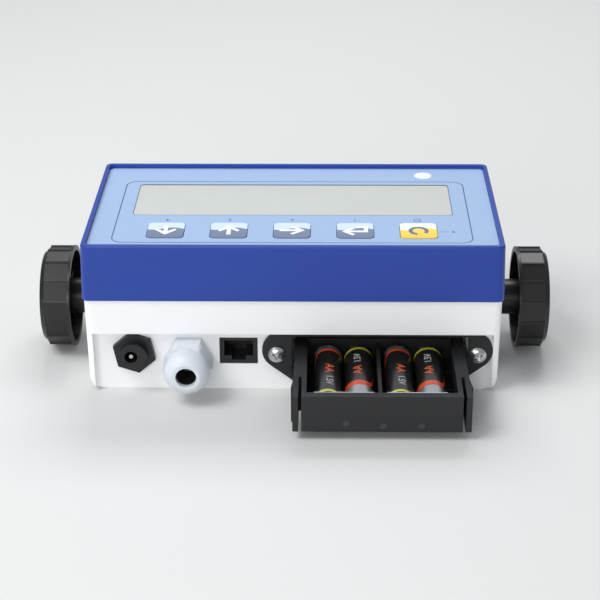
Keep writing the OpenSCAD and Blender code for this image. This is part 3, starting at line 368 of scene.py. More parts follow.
@dataclass(frozen=True)
class Moulded(Finish):
    """Moulded plastic: fine spark grain, faint flow marks and softly rounded edges."""

    colour: Colour
    roughness: float = 0.45
    grain_mm: float = 0.35
    grain_depth: float = 0.012
    mottle: float = 0.06
    edge_mm: float = 0.3
    coat: float = 0.0

    def paint(self, sheet: ShaderSheet) -> None:
        """Feeds the sheet."""
        grain = sheet.noise(self.grain_mm, 3)
        flow = sheet.noise(28, 2, (1, 1, 2.5))
        scuff = sheet.noise(6, 4, (1, 3, 1)).step(0.68, 0.08)
        darker = tuple(c * (1 - self.mottle) for c in self.colour)
        lighter = tuple(min(1.0, c * (1 + self.mottle) + self.mottle * 0.01) for c in self.colour)
        base = sheet.mix(flow, darker, lighter)
        sheet.feed(base_color=sheet.mix(scuff * 0.25, base, lighter),
                   roughness=self.roughness + (grain - 0.5) * 0.12 + scuff * 0.05,
                   coat_weight=self.coat, coat_roughness=0.12)
        sheet.bump(grain, self.grain_depth, sheet.rounded_normal(self.edge_mm))


@dataclass(frozen=True)
class Metal(Finish):
    """Metal with fine drawn lines and small dull spots."""

    colour: Colour
    roughness: float = 0.24
    lines: Point = (1, 1, 12)
    edge_mm: float = 0.15

    def paint(self, sheet: ShaderSheet) -> None:
        """Feeds the sheet."""
        drawn = sheet.noise(0.6, 2, self.lines)
        spots = sheet.noise(1.6, 3).step(0.62, 0.06)
        dull = tuple(c * 0.7 for c in self.colour)
        sheet.feed(base_color=sheet.mix(spots * 0.35, self.colour, dull), metallic=1.0,
                   roughness=self.roughness + (drawn - 0.5) * 0.2 + spots * 0.1)
        sheet.bump(drawn, 0.004, sheet.rounded_normal(self.edge_mm))


@dataclass(frozen=True)
class Rubber(Finish):
    """Dull black rubber with dust in its pores."""

    colour: Colour

    def paint(self, sheet: ShaderSheet) -> None:
        """Feeds the sheet."""
        pores = sheet.noise(0.5, 4)
        dusty = tuple(c * 1.8 + 0.01 for c in self.colour)
        sheet.feed(base_color=sheet.mix(pores.step(0.6, 0.1) * 0.4, self.colour, dusty), roughness=0.72)
        sheet.bump(pores, 0.02, sheet.rounded_normal(0.2))


@dataclass(frozen=True)
class Board(Finish):
    """Solder mask with tracks and a slight gloss."""

    mask: Colour
    track: Colour

    def paint(self, sheet: ShaderSheet) -> None:
        """Feeds the sheet."""
        x, y, _ = sheet.axes()
        cell = sheet.noise(9, 0, (1, 1, 0))
        across = (x * 2.4 + cell * 6).sine()
        along = (y * 2.4 + cell * 9).sine()
        tracks = across.step(0.82, 0.08).most(along.step(0.9, 0.05) * cell.step(0.5, 0.02))
        sheet.feed(base_color=sheet.mix(tracks, self.mask, self.track), roughness=0.32 + tracks * 0.1)
        sheet.bump(tracks, 0.03, sheet.rounded_normal(0.1))


@dataclass(frozen=True)
class Print(Finish):
    """Screen-printed ink: flat colour with a faint mesh texture."""

    colour: Colour
    roughness: float = 0.42

    def paint(self, sheet: ShaderSheet) -> None:
        """Feeds the sheet."""
        weave = sheet.noise(0.25, 1)
        darker = tuple(c * 0.93 for c in self.colour)
        sheet.feed(base_color=sheet.mix(weave, darker, self.colour),
                   roughness=self.roughness + (weave - 0.5) * 0.1)
        sheet.bump(weave, 0.004)


@dataclass(frozen=True)
class Film(Finish):
    """Printed polyester film: pale ink with a fine matt texture and a slight sheen, a shade darker towards
    its near edge.
    """

    colour: Colour
    shade: Colour
    half_depth: float = 55

    def paint(self, sheet: ShaderSheet) -> None:
        """Feeds the sheet."""
        _, y, _ = sheet.axes((0, CASE_MID, 0))
        fall = (y / self.half_depth + 1) * 0.5
        grain = sheet.noise(0.3, 2)
        cloud = sheet.noise(60, 1)
        sheet.feed(base_color=sheet.mix(fall * 0.6 + (cloud - 0.5) * 0.3, self.shade, self.colour),
                   roughness=0.36 + (grain - 0.5) * 0.1, coat_weight=0.15, coat_roughness=0.2)
        sheet.bump(grain, 0.006, sheet.rounded_normal(0.1))


@dataclass(frozen=True)
class KeyFace(Finish):
    """Key film: a light upper part with a waved edge over a darker field."""

    centre: Flat
    field_colour: Colour
    light: Colour
    wave_pace: float = 0.32
    wave_start: float = 0.5
    wave_height: float = 1.4
    edge_at: float = 1.8

    def paint(self, sheet: ShaderSheet) -> None:
        """Feeds the sheet."""
        x, y, _ = sheet.axes((self.centre[0], self.centre[1], 0))
        wave = (x * self.wave_pace + self.wave_start).sine() * self.wave_height
        upper = (y - wave).step(self.edge_at, 0.12)
        fade = (y / 12).step(0.1, 0.7)
        field_top = tuple(min(1.0, c * 1.35) for c in self.field_colour)
        grain = sheet.noise(0.3, 2)
        sheet.feed(base_color=sheet.mix(upper, sheet.mix(fade, self.field_colour, field_top), self.light),
                   roughness=0.38 + (grain - 0.5) * 0.1)
        sheet.bump(grain, 0.006, sheet.rounded_normal(0.25))


@dataclass(frozen=True)
class DisplayField(Finish):
    """Display glass: grey-green field with painted shadow of the window's recess, darker towards its far edge
    and its sides.
    """

    colour: Colour
    # Painted shadow colour of the window's recess.
    shade: Colour
    centre: Flat
    half_depth: float
    half_width: float = 80

    def paint(self, sheet: ShaderSheet) -> None:
        """Feeds the sheet."""
        x, y, _ = sheet.axes((self.centre[0], self.centre[1], 0))
        # edge and side are painted shadow of the recess walls on the far edge and the sides; cover mixes them
        # with the film's tone.
        edge = (y / self.half_depth).step(0.75, 0.3)
        side = (abs(x) / self.half_width).step(0.97, 0.04)
        film = sheet.noise(40, 1)
        cover = edge * 0.5 + side * 0.3 + (film - 0.5) * 0.2
        sheet.feed(base_color=sheet.mix(cover, self.colour, self.shade),
                   roughness=0.3 + film * 0.08, coat_weight=0.4, coat_roughness=0.08)


@dataclass(frozen=True)
class WindowFilm(Finish):
    """Window film over the display: it covers most of what is under it and has a faint texture."""

    tint: Colour
    cover: float

    def paint(self, sheet: ShaderSheet) -> None:
        """Feeds the sheet."""
        haze = sheet.noise(18, 3)
        sheet.feed(base_color=self.tint, alpha=self.cover + (haze - 0.5) * 0.05, roughness=0.1 + haze * 0.06)


class Nub(Enum):
    """Side to which a cell's nub points."""

    PORTS = 1
    INSIDE = -1


@dataclass(frozen=True)
class Sleeve(Finish):
    """Printed sleeve of a cell: black, a yellow ring at the nub, a silver end and an orange sweep between."""

    axis: tuple[float, float]
    start: float
    nub: Nub
    ring_colour: Colour
    sweep_colour: Colour
    silver_colour: Colour
    sweep_at: float
    sweep_width: float
    sweep_from: float = 38
    sweep_span: float = 48
    sweep_reach: float = 27
    ring_at: Flat = (2.6, 4.6)
    bare_nub: float = 1.55
    bare_tail: float = 49.3
    bare_square: float = 38

    def paint(self, sheet: ShaderSheet) -> None:
        """Feeds the sheet."""
        x, y, z = sheet.axes((self.axis[0], self.start, self.axis[1]))
        along = y * self.nub.value
        round_way = (x * self.nub.value).arc(z) * (-180 / math.pi)
        rise = ((round_way - self.sweep_from) / self.sweep_span).most(0).least(1)
        lag = along - (self.sweep_at - rise * rise * self.sweep_reach)
        sweep = lag.step(0, 0.15) * (1 - lag.step(self.sweep_width, 0.15))
        silver = along.step(self.sweep_at + self.sweep_width + 0.3, 0.12)
        ring = along.step(self.ring_at[0], 0.1) * (1 - along.step(self.ring_at[1], 0.12))
        radius_mask = (x * x + z * z).step(self.bare_square, 3)
        nub_end = 1 - (along.step(self.bare_nub, 0.1) * radius_mask)
        tail_end = along.step(self.bare_tail, 0.1).most(1 - radius_mask)
        bare = nub_end.most(tail_end)
        scuff = sheet.noise(2.5, 4).step(0.66, 0.06)
        ink = sheet.mix(scuff * 0.3, srgb(16, 16, 17), srgb(46, 46, 47))
        ink = sheet.mix(silver, ink, self.silver_colour)
        ink = sheet.mix(sweep, ink, self.sweep_colour)
        ink = sheet.mix(ring, ink, self.ring_colour)
        metal = bare.most(silver * (1 - sweep) * 0.85)
        grain = sheet.noise(0.5, 2, (1, 8, 1))
        sheet.feed(base_color=sheet.mix(bare, ink, srgb(205, 205, 206)), metallic=metal,
                   roughness=0.28 + (grain - 0.5) * 0.1 + scuff * 0.1, coat_weight=0.3, coat_roughness=0.15)
        sheet.bump(grain, 0.004)


def add_object(name: str, data: bpy.types.ID) -> bpy.types.Object:
    """Adds an object to the scene.

    Args:
        name: The object's name.
        data: Its mesh, curve, light or camera.

    Returns:
        The new object.
    """
    made = bpy.data.objects.new(name, data)
    bpy.context.scene.collection.objects.link(made)
    return made


def mesh_object(name: str, shape: bmesh.types.BMesh, *finishes: bpy.types.Material) -> bpy.types.Object:
    """Adds a mesh to the scene.

    Args:
        name: The name of mesh and object.
        shape: The mesh, which is freed.
        *finishes: The mesh's materials.

    Returns:
        The new object.
    """
    mesh = bpy.data.meshes.new(name)
    shape.to_mesh(mesh)
    shape.free()
    for finish in finishes:
        mesh.materials.append(finish)
    return add_object(name, mesh)


def final_mesh(holder: bpy.types.Object) -> bpy.types.Mesh:
    """Gives an object's mesh as its curve or modifiers make it."""
    bpy.context.view_layer.update()
    return bpy.data.meshes.new_from_object(holder.evaluated_get(bpy.context.evaluated_depsgraph_get()))


def piece_from(name: str, build: Callable[[bmesh.types.BMesh], None], finish: bpy.types.Material,
               smooth_angle: float | None = None) -> bpy.types.Object:
    """Makes an object at the origin from a mesh recipe.

    Args:
        name: The piece's name.
        build: Fills an empty mesh, in metres.
        finish: The piece's material.
        smooth_angle: Angle in degrees under which neighbouring faces shade as one, or None for flat faces.

    Returns:
        The new object.
    """
    shape = bmesh.new()
    build(shape)
    bmesh.ops.remove_doubles(shape, verts=shape.verts, dist=1e-7)
    bmesh.ops.recalc_face_normals(shape, faces=shape.faces)
    if smooth_angle is not None:
        for face in shape.faces:
            face.smooth = True
        for edge in shape.edges:
            edge.smooth = len(edge.link_faces) == 2 and edge.calc_face_angle(0) < math.radians(smooth_angle)
    return mesh_object(name, shape, finish)


def prism(shape: bmesh.types.BMesh, outline: Sequence[Flat], low: float, high: float) -> None:
    """Adds a flat prism to a mesh.

    Args:
        shape: The mesh to add to.
        outline: Corner points in millimetres.
        low: Lower height in millimetres.
        high: Upper height in millimetres.
    """
    rows = [[shape.verts.new((x * MM, y * MM, z * MM)) for x, y in outline] for z in (low, high)]
    shape.faces.new(rows[0][::-1])
    shape.faces.new(rows[1])
    for i in range(len(outline)):
        j = (i + 1) % len(outline)
        shape.faces.new((rows[0][i], rows[0][j], rows[1][j], rows[1][i]))


def band(shape: bmesh.types.BMesh, outer: Sequence[Flat], inner: Sequence[Flat], low: float, high: float,
         closed: bool = True) -> None:
    """Adds a flat band between two lines of equally many points.

    Args:
        shape: The mesh to add to.
        outer: Outer line in millimetres.
        inner: Inner line in millimetres.
        low: Lower height in millimetres.
        high: Upper height in millimetres.
        closed: Whether the band's end meets its start.
    """
    rings = [[shape.verts.new((x * MM, y * MM, z * MM)) for x, y in line]
             for line, z in ((outer, low), (outer, high), (inner, high), (inner, low))]
    count = len(outer)
    for i in range(count if closed else count - 1):
        j = (i + 1) % count
        for k in range(4):
            first, second = rings[k], rings[(k + 1) % 4]
            shape.faces.new((first[i], first[j], second[j], second[i]))
    if not closed:
        for i in (0, count - 1):
            shape.faces.new([ring[i] for ring in rings])


def circle(centre: Flat, radius: float, steps: int) -> list[Flat]:
    """Gives a circle's points.

    Args:
        centre: The circle's middle.
        radius: Its radius.
        steps: Number of points.

    Returns:
        The points, anticlockwise.
    """
    turns = (2 * math.pi * i / steps for i in range(steps))
    return [(centre[0] + radius * math.cos(a), centre[1] + radius * math.sin(a)) for a in turns]


def rounded_line(half_w: float, half_d: float, radius: float, centre: Flat) -> list[Flat]:
    """Gives a rounded rectangle's outline.

    Args:
        half_w: Half width.
        half_d: Half depth.
        radius: Corner radius.
        centre: The rectangle's middle.

    Returns:
        The points, anticlockwise.
    """
    points = []
    for corner, (sx, sy) in enumerate(((1, 1), (-1, 1), (-1, -1), (1, -1))):
        for i in range(9):
            a = math.radians(corner * 90 + i * 90 / 8)
            points.append((centre[0] + sx * (half_w - radius) + radius * math.cos(a),
                           centre[1] + sy * (half_d - radius) + radius * math.sin(a)))
    return points


def lathe(shape: bmesh.types.BMesh, outline: Sequence[Flat], origin: Point, along: Point,
          steps: int = 64) -> None:
    """Turns an outline round an axis.

    Args:
        shape: The mesh to add to.
        outline: Radius and distance along the axis, in millimetres; it starts and ends on the axis.
        origin: Axis start in millimetres.
        along: The axis's direction.
        steps: Number of steps round the axis.
    """
    turn = Vector((0, 0, 1)).rotation_difference(Vector(along)).to_matrix()
    start = Vector(origin)
    rows = []
    for radius, far in outline:
        count = 1 if radius < 1e-6 else steps
        turns = (2 * math.pi * i / steps for i in range(count))
        spots = [Vector((radius * math.cos(a), radius * math.sin(a), far)) for a in turns]
        rows.append([shape.verts.new((start + turn @ spot) * MM) for spot in spots])
    for low, high in zip(rows, rows[1:]):
        for i in range(steps):
            j = (i + 1) % steps
            corners = [low[i % len(low)], low[j % len(low)], high[j % len(high)], high[i % len(high)]]
            shape.faces.new(list(dict.fromkeys(corners)))


class RowTree:
    """Geometry Nodes tree that sets copies of a small disc in a straight row."""

    def __init__(self) -> None:
        """Builds the tree with its named inputs."""
        tree = bpy.data.node_groups.new("row_of_copies", "GeometryNodeTree")
        self.tree = tree
        sockets = (("Geometry", "Geometry"), ("Count", "Int"), ("Start", "Vector"), ("Step", "Vector"),
                   ("Turn", "Vector"), ("Size", "Vector"), ("Sides", "Int"), ("Finish", "Material"))
        self.ids = {}
        for name, kind in sockets:
            made = tree.interface.new_socket(name, in_out="INPUT", socket_type="NodeSocket" + kind)
            self.ids[name] = made.identifier
        tree.interface.new_socket("Geometry", in_out="OUTPUT", socket_type="NodeSocketGeometry")
        nodes, links = tree.nodes, tree.links
        given = nodes.new("NodeGroupInput").outputs
        row = nodes.new("GeometryNodeMeshLine")
        row.mode = "OFFSET"
        disc = nodes.new("GeometryNodeMeshCylinder")
        disc.inputs["Radius"].default_value = 0.5
        disc.inputs["Depth"].default_value = 1.0
        shaped = nodes.new("GeometryNodeTransform")
        copies = nodes.new("GeometryNodeInstanceOnPoints")
        real = nodes.new("GeometryNodeRealizeInstances")
        paint = nodes.new("GeometryNodeSetMaterial")
        result = nodes.new("NodeGroupOutput")
        for source, target in (
                (given["Count"], row.inputs["Count"]), (given["Start"], row.inputs["Start Location"]),
                (given["Step"], row.inputs["Offset"]), (given["Sides"], disc.inputs["Vertices"]),
                (disc.outputs["Mesh"], shaped.inputs["Geometry"]), (given["Size"], shaped.inputs["Scale"]),
                (row.outputs["Mesh"], copies.inputs["Points"]),
                (shaped.outputs["Geometry"], copies.inputs["Instance"]),
                (given["Turn"], copies.inputs["Rotation"]),
                (copies.outputs["Instances"], real.inputs["Geometry"]),
                (real.outputs["Geometry"], paint.inputs["Geometry"]),
                (given["Finish"], paint.inputs["Material"]),
                (paint.outputs["Geometry"], result.inputs[0])):
            links.new(source, target)

    def make(self, name: str, count: int, start: Point, step: Point, size: Point, sides: int, turn: Point,
             finish: bpy.types.Material) -> bpy.types.Object:
        """Runs the tree and keeps its result as a plain mesh.

        Args:
            name: The piece's name.
            count: Number of copies.
            start: First copy's middle in millimetres.
            step: Way from copy to copy in millimetres.
            size: Size of a copy in millimetres, before its turn.
            sides: Number of sides of a copy.
            turn: A copy's turn round X, Y and Z in degrees.
            finish: The piece's material.

        Returns:
            The new object.
        """
        holder = add_object(name, bpy.data.meshes.new(name + "_seed"))
        modifier = holder.modifiers.new("row", "NODES")
        modifier.node_group = self.tree
        scaled = {"Start": start, "Step": step, "Size": size}
        for key, item in {"Count": count, "Sides": sides, "Finish": finish,
                          "Turn": [math.radians(a) for a in turn],
                          **{k: [c * MM for c in v] for k, v in scaled.items()}}.items():
            modifier[self.ids[key]] = item
        mesh = final_mesh(holder)
        holder.modifiers.clear()
        holder.data = mesh
        return holder


def box_mm(node: str) -> tuple[Vector, Vector]:
    """Gives a CAD node's corners in millimetres.

    Args:
        node: The node's name.

    Returns:
        Its lowest and highest corner.
    """
    low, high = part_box(node)
    return Vector(low) / MM, Vector(high) / MM


def middle(node: str) -> Vector:
    """Gives the middle of a CAD node's box in millimetres."""
    low, high = box_mm(node)
    return (low + high) / 2


def dress(finish: bpy.types.Material, *nodes: str) -> None:
    """Gives CAD nodes a material.

    Args:
        finish: The material.
        *nodes: The nodes' names.
    """
    for node in nodes:
        piece = frame["nodes"][node]
        if not piece.material_slots:
            piece.data.materials.append(finish)
        for slot in piece.material_slots:
            slot.material = finish
        log.info("dressed %s with %s", node, finish.name)


def settle(piece: bpy.types.Object, body: str, slot: str, *replaced: str) -> None:
    """Puts a piece on its body and hides the CAD nodes that it stands for.

    Args:
        piece: The piece.
        body: The CAD body that it moves with.
        slot: Not used.
        *replaced: CAD nodes that it stands for.
    """
    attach(piece, body)
    if replaced:
        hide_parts(*replaced)
    log.info("made %s on %s, %d faces", piece.name, body, len(piece.data.polygons))


def lettering(name: str, words: str, height: float, place: Matrix, finish: bpy.types.Material,
              bend: Callable[[Vector], Vector] | None = None) -> bpy.types.Object:
    """Makes flat generic lettering as a thin mesh.

    Args:
        name: The piece's name.
        words: Plain numbers or a cell's size.
        height: Letter height in millimetres.
        place: Where the middle of the words goes, in millimetres.
        finish: The piece's material.
        bend: Moves a flat point, in millimetres, onto a curved surface.

    Returns:
        The new object.
    """
    curve = bpy.data.curves.new(name + "_words", "FONT")
    curve.body, curve.align_x, curve.align_y = words, "CENTER", "CENTER"
    curve.size, curve.resolution_u = height * LETTER_RATIO, 3
    holder = add_object(name + "_words", curve)
    flat = final_mesh(holder)
    bpy.data.objects.remove(holder)
    shape = bmesh.new()
    shape.from_mesh(flat)
    bmesh.ops.triangulate(shape, faces=shape.faces)
    if bend is not None:
        for i in range(-8, 9):
            bmesh.ops.bisect_plane(shape, geom=shape.verts[:] + shape.edges[:] + shape.faces[:],
                                   plane_co=(0, i * height / 12, 0), plane_no=(0, 1, 0))
    for vert in shape.verts:
        spot = bend(vert.co) if bend is not None else vert.co
        vert.co = (place @ Vector(spot)) * MM
    return mesh_object(name, shape, finish)


@dataclass
class Case:
    """Bezel, shell and what closes them."""

    blue: Moulded = Moulded("bezel_blue", srgb(8, 56, 154), 0.36, 0.3, 0.006, 0.06, 0.35, 0.08)
    white: Moulded = Moulded("shell_white", srgb(247, 248, 249), 0.42, 0.35, 0.006, 0.01, 0.35)

    def dress(self) -> None:
        """Gives the case's nodes their finishes."""
        dress(self.blue.material(), "front_bezel")
        dress(self.white.material(), "rear_shell", "backlight")


@dataclass
class Panel:
    """Printed overlay with its frame line, numbers and power mark, and the display under it."""

    line_half: Flat = (88.85, 40.3)
    line_centre: Flat = (-0.45, 49.3)
    line_radius: float = 6.0
    line_width: float = 0.55
    dot_at: Flat = (67.9, 98.4)
    dot_radius: float = 4.6
    near_edge: float = -32.31
    mark_off: float = 13.6
    number_height: float = 3.0
    # The border fields shape the painted shadow of the display's recess round the window; border_drop makes
    # it thicker at the far edge.
    border_in: float = 1.05
    border_outer: Flat = (0.3, 0.5)
    border_inner: Flat = (0.1, 0.2)
    border_radii: Flat = (2.2, 1.8)
    border_drop: float = 0.6
    power_ring: Point = (1.7, 0.42, 60)
    power_bar: tuple[float, ...] = (-0.22, 0.3, 0.22, 2.1)
    dash: tuple[float, ...] = (10.4, -1.0, 15, -0.7)
    lamp_at: Flat = (17.2, -0.85)
    lamp_radius: float = 0.8
    ink: Print = Print("panel_ink", srgb(62, 84, 132))
    pale_ink: Print = Print("pale_ink", srgb(234, 240, 240))
    # Painted shadow of the display's recess round the window, using the print finish.
    painted_window_shadow: Print = Print("painted_window_shadow", srgb(74, 88, 112))
    film: Film = Film("overlay_film", srgb(160, 186, 222), srgb(152, 180, 218))
    # The display field's second colour is painted shadow of the window's recess.
    field_glass: DisplayField = DisplayField("display_field_painted_shadow", srgb(219, 221, 213), srgb(184, 190, 186),
                                             (-0.75, 32.14), 20.4)
    window: WindowFilm = WindowFilm("window_film", srgb(212, 216, 212), 0.86)

    def dress(self) -> None:
        """Gives the panel's nodes their finishes."""
        dress(self.film.material(), "panel_overlay")
        dress(self.field_glass.material(), "display_glass")
        dress(self.window.material(), "display_window")

    def build(self) -> None:
        """Makes the printed marks and the painted shadow round the window."""
        top = box_mm("panel_overlay")[1].z
        ink = self.ink.material()
        centre = (self.line_centre[0], self.line_centre[1] + self.near_edge)
        outer = rounded_line(*self.line_half, self.line_radius, centre)
        inner = rounded_line(self.line_half[0] - self.line_width, self.line_half[1] - self.line_width,
                             self.line_radius - self.line_width, centre)
        line = piece_from("panel_frame_line", lambda s: band(s, outer, inner, top, top + PRINT_T), ink)
        settle(line, "case", "overlay")
        self.build_painted_window_shadow(top)
        dot = circle((self.dot_at[0], self.dot_at[1] + self.near_edge), self.dot_radius, 48)
        mark = piece_from("seal_dot", lambda s: prism(s, dot, top, top + PRINT_T),
                          self.pale_ink.material())
        settle(mark, "case", "overlay")
        for number in range(1, 5):
            key = middle(f"key_{number}")
            spot = Matrix.Translation((key.x, key.y + self.mark_off, top + PRINT_T))
            place = spot @ Matrix.Rotation(math.pi, 4, "Z")
            made = lettering(f"key_number_{number}", str(5 - number), self.number_height, place, ink)
            settle(made, "case", "overlay")
        self.build_power_marks(top, ink)

    def build_painted_window_shadow(self, top: float) -> None:
        """Makes the painted shadow of the display's recess: a dark line round the window, thicker at its far
        edge.

        Args:
            top: Height of the overlay in millimetres.
        """
        low, high = box_mm("display_window")
        centre = ((low.x + high.x) / 2, (low.y + high.y) / 2)
        half_w = (high.x - low.x) / 2 - self.border_in
        half_d = (high.y - low.y) / 2 - self.border_in
        outer = rounded_line(half_w + self.border_outer[0], half_d + self.border_outer[1],
                             self.border_radii[0], centre)
        inner = rounded_line(half_w - self.border_inner[0], half_d - self.border_inner[1],
                             self.border_radii[1], (centre[0], centre[1] - self.border_drop))
        border = piece_from("painted_window_shadow_line", lambda s: band(s, outer, inner, top, top + PRINT_T),
                            self.painted_window_shadow.material())
        settle(border, "case", "overlay")

    def build_power_marks(self, top: float, ink: bpy.types.Material) -> None:
        """Makes the power mark over the last key and the mark beside it.

        Args:
            top: Height of the overlay in millimetres.
            ink: The ink's material.
        """
        key = middle("key_5")
        at = (key.x, key.y + self.mark_off)

        def marks(shape: bmesh.types.BMesh) -> None:
            """Adds ring, bar, line and small dot."""
            high = top + PRINT_T
            ring_arc(shape, at, *self.power_ring, top, high)
            for (x, y), (x0, y0, x1, y1) in ((at, self.power_bar), ((key.x, key.y), self.dash)):
                corners = [(x + dx, y + dy) for dx, dy in ((x0, y0), (x1, y0), (x1, y1), (x0, y1))]
                prism(shape, corners, top, high)
            lamp = circle((key.x + self.lamp_at[0], key.y + self.lamp_at[1]), self.lamp_radius, 24)
            prism(shape, lamp, top, high)

        settle(piece_from("power_marks", marks, ink), "case", "overlay")


def ring_arc(shape: bmesh.types.BMesh, at: Flat, radius: float, width: float, gap: float, low: float,
             high: float, towards: float = 90) -> None:
    """Adds an open ring.

    Args:
        shape: The mesh to add to.
        at: The ring's middle in millimetres.
        radius: Middle radius.
        width: Width of the line.
        gap: Opening in degrees.
        low: Lower height.
        high: Upper height.
        towards: Direction of the opening in degrees.
    """
    steps = 40
    turns = [math.radians(towards + gap / 2 + (360 - gap) * i / steps) for i in range(steps + 1)]
    outer, inner = ([(at[0] + r * math.cos(a), at[1] + r * math.sin(a)) for a in turns]
                    for r in (radius + width / 2, radius - width / 2))
    band(shape, outer, inner, low, high, closed=False)


class Mark(Enum):
    """Symbol printed on a key, as an outline round the key's middle in millimetres."""

    DOWN = ((0, -5.6), (5.4, 0.2), (4.3, 1.5), (1.0, -1.6),
            (1.0, 5.4), (-1.0, 5.4), (-1.0, -1.6), (-4.3, 1.5), (-5.4, 0.2))
    UP = ((0, 5.6), (-5.4, -0.2), (-4.3, -1.5), (-1.0, 1.6),
          (-1.0, -5.4), (1.0, -5.4), (1.0, 1.6), (4.3, -1.5), (5.4, -0.2))
    RIGHT = ((6.4, 0), (0.4, 5.2), (-0.9, 4.0), (2.6, 1.0),
             (-6.2, 1.0), (-6.2, -1.0), (2.6, -1.0), (-0.9, -4.0), (0.4, -5.2))
    ENTER = ((-6.6, -1.2), (-1.4, 3.6), (-0.1, 2.4), (-2.9, -0.2), (4.3, -0.2), (4.3, 3.2), (0.9, 3.2),
             (0.9, 5.2), (6.3, 5.2), (6.3, -2.2), (-2.9, -2.2), (-0.1, -4.8), (-1.4, -6.0))
    RING = ()


@dataclass
class Keypad:
    """Five keys with their two-tone faces and printed symbols."""

    slate: Colour = srgb(104, 118, 148)
    pale: Colour = srgb(206, 222, 244)
    yellow: Colour = srgb(232, 200, 74)
    cream: Colour = srgb(240, 240, 232)
    white_ink: Print = Print("key_ink", srgb(246, 248, 250))
    slate_ink: Print = Print("key_ring_ink", srgb(98, 106, 134))
    ring_down: float = 0.4
    ring_shape: Point = (4.0, 2.0, 62)
    ring_towards: float = -70
    marks: tuple[Mark, ...] = (Mark.DOWN, Mark.UP, Mark.RIGHT, Mark.ENTER, Mark.RING)

    def build(self) -> None:
        """Dresses the keys and makes their symbols."""
        white = self.white_ink.material()
        slate = self.slate_ink.material()
        for number, mark in enumerate(self.marks, 1):
            node = f"key_{number}"
            at = middle(node)
            is_power = mark is Mark.RING
            face = KeyFace(f"{node}_face", (at.x, at.y), self.yellow if is_power else self.slate,
                           self.cream if is_power else self.pale)
            dress(face.material(), node)
            low = box_mm(node)[1].z
            symbol = piece_from(f"{node}_symbol", self.symbol(mark, at, low), slate if is_power else white)
            settle(symbol, node, "key")

    def symbol(self, mark: Mark, at: Vector, low: float) -> Callable[[bmesh.types.BMesh], None]:
        """Gives the recipe of a key's symbol.

        Args:
            mark: The symbol.
            at: The key's middle in millimetres.
            low: Height of the key's face.

        Returns:
            A recipe that adds the symbol to a mesh.
        """
        high = low + PRINT_T

        def fill(shape: bmesh.types.BMesh) -> None:
            """Adds the symbol."""
            if mark is Mark.RING:
                ring_arc(shape, (at.x, at.y - self.ring_down), *self.ring_shape, low, high, self.ring_towards)
            else:
                prism(shape, [(at.x + x, at.y + y) for x, y in mark.value], low, high)

        return fill


@dataclass
class CellSize:
    """Sizes of a round cell in millimetres, and the tilt of its words in degrees."""

    length: float = 50.4
    radius: float = 7.2
    nub_length: float = 1.5
    nub_radius: float = 2.75
    rim: float = 0.45
    words_height: float = 4.6
    volts_height: float = 3.6
    size_far: float = 26
    volts_far: float = 14
    words_tilt: float = 6
    ink_t: float = 0.03


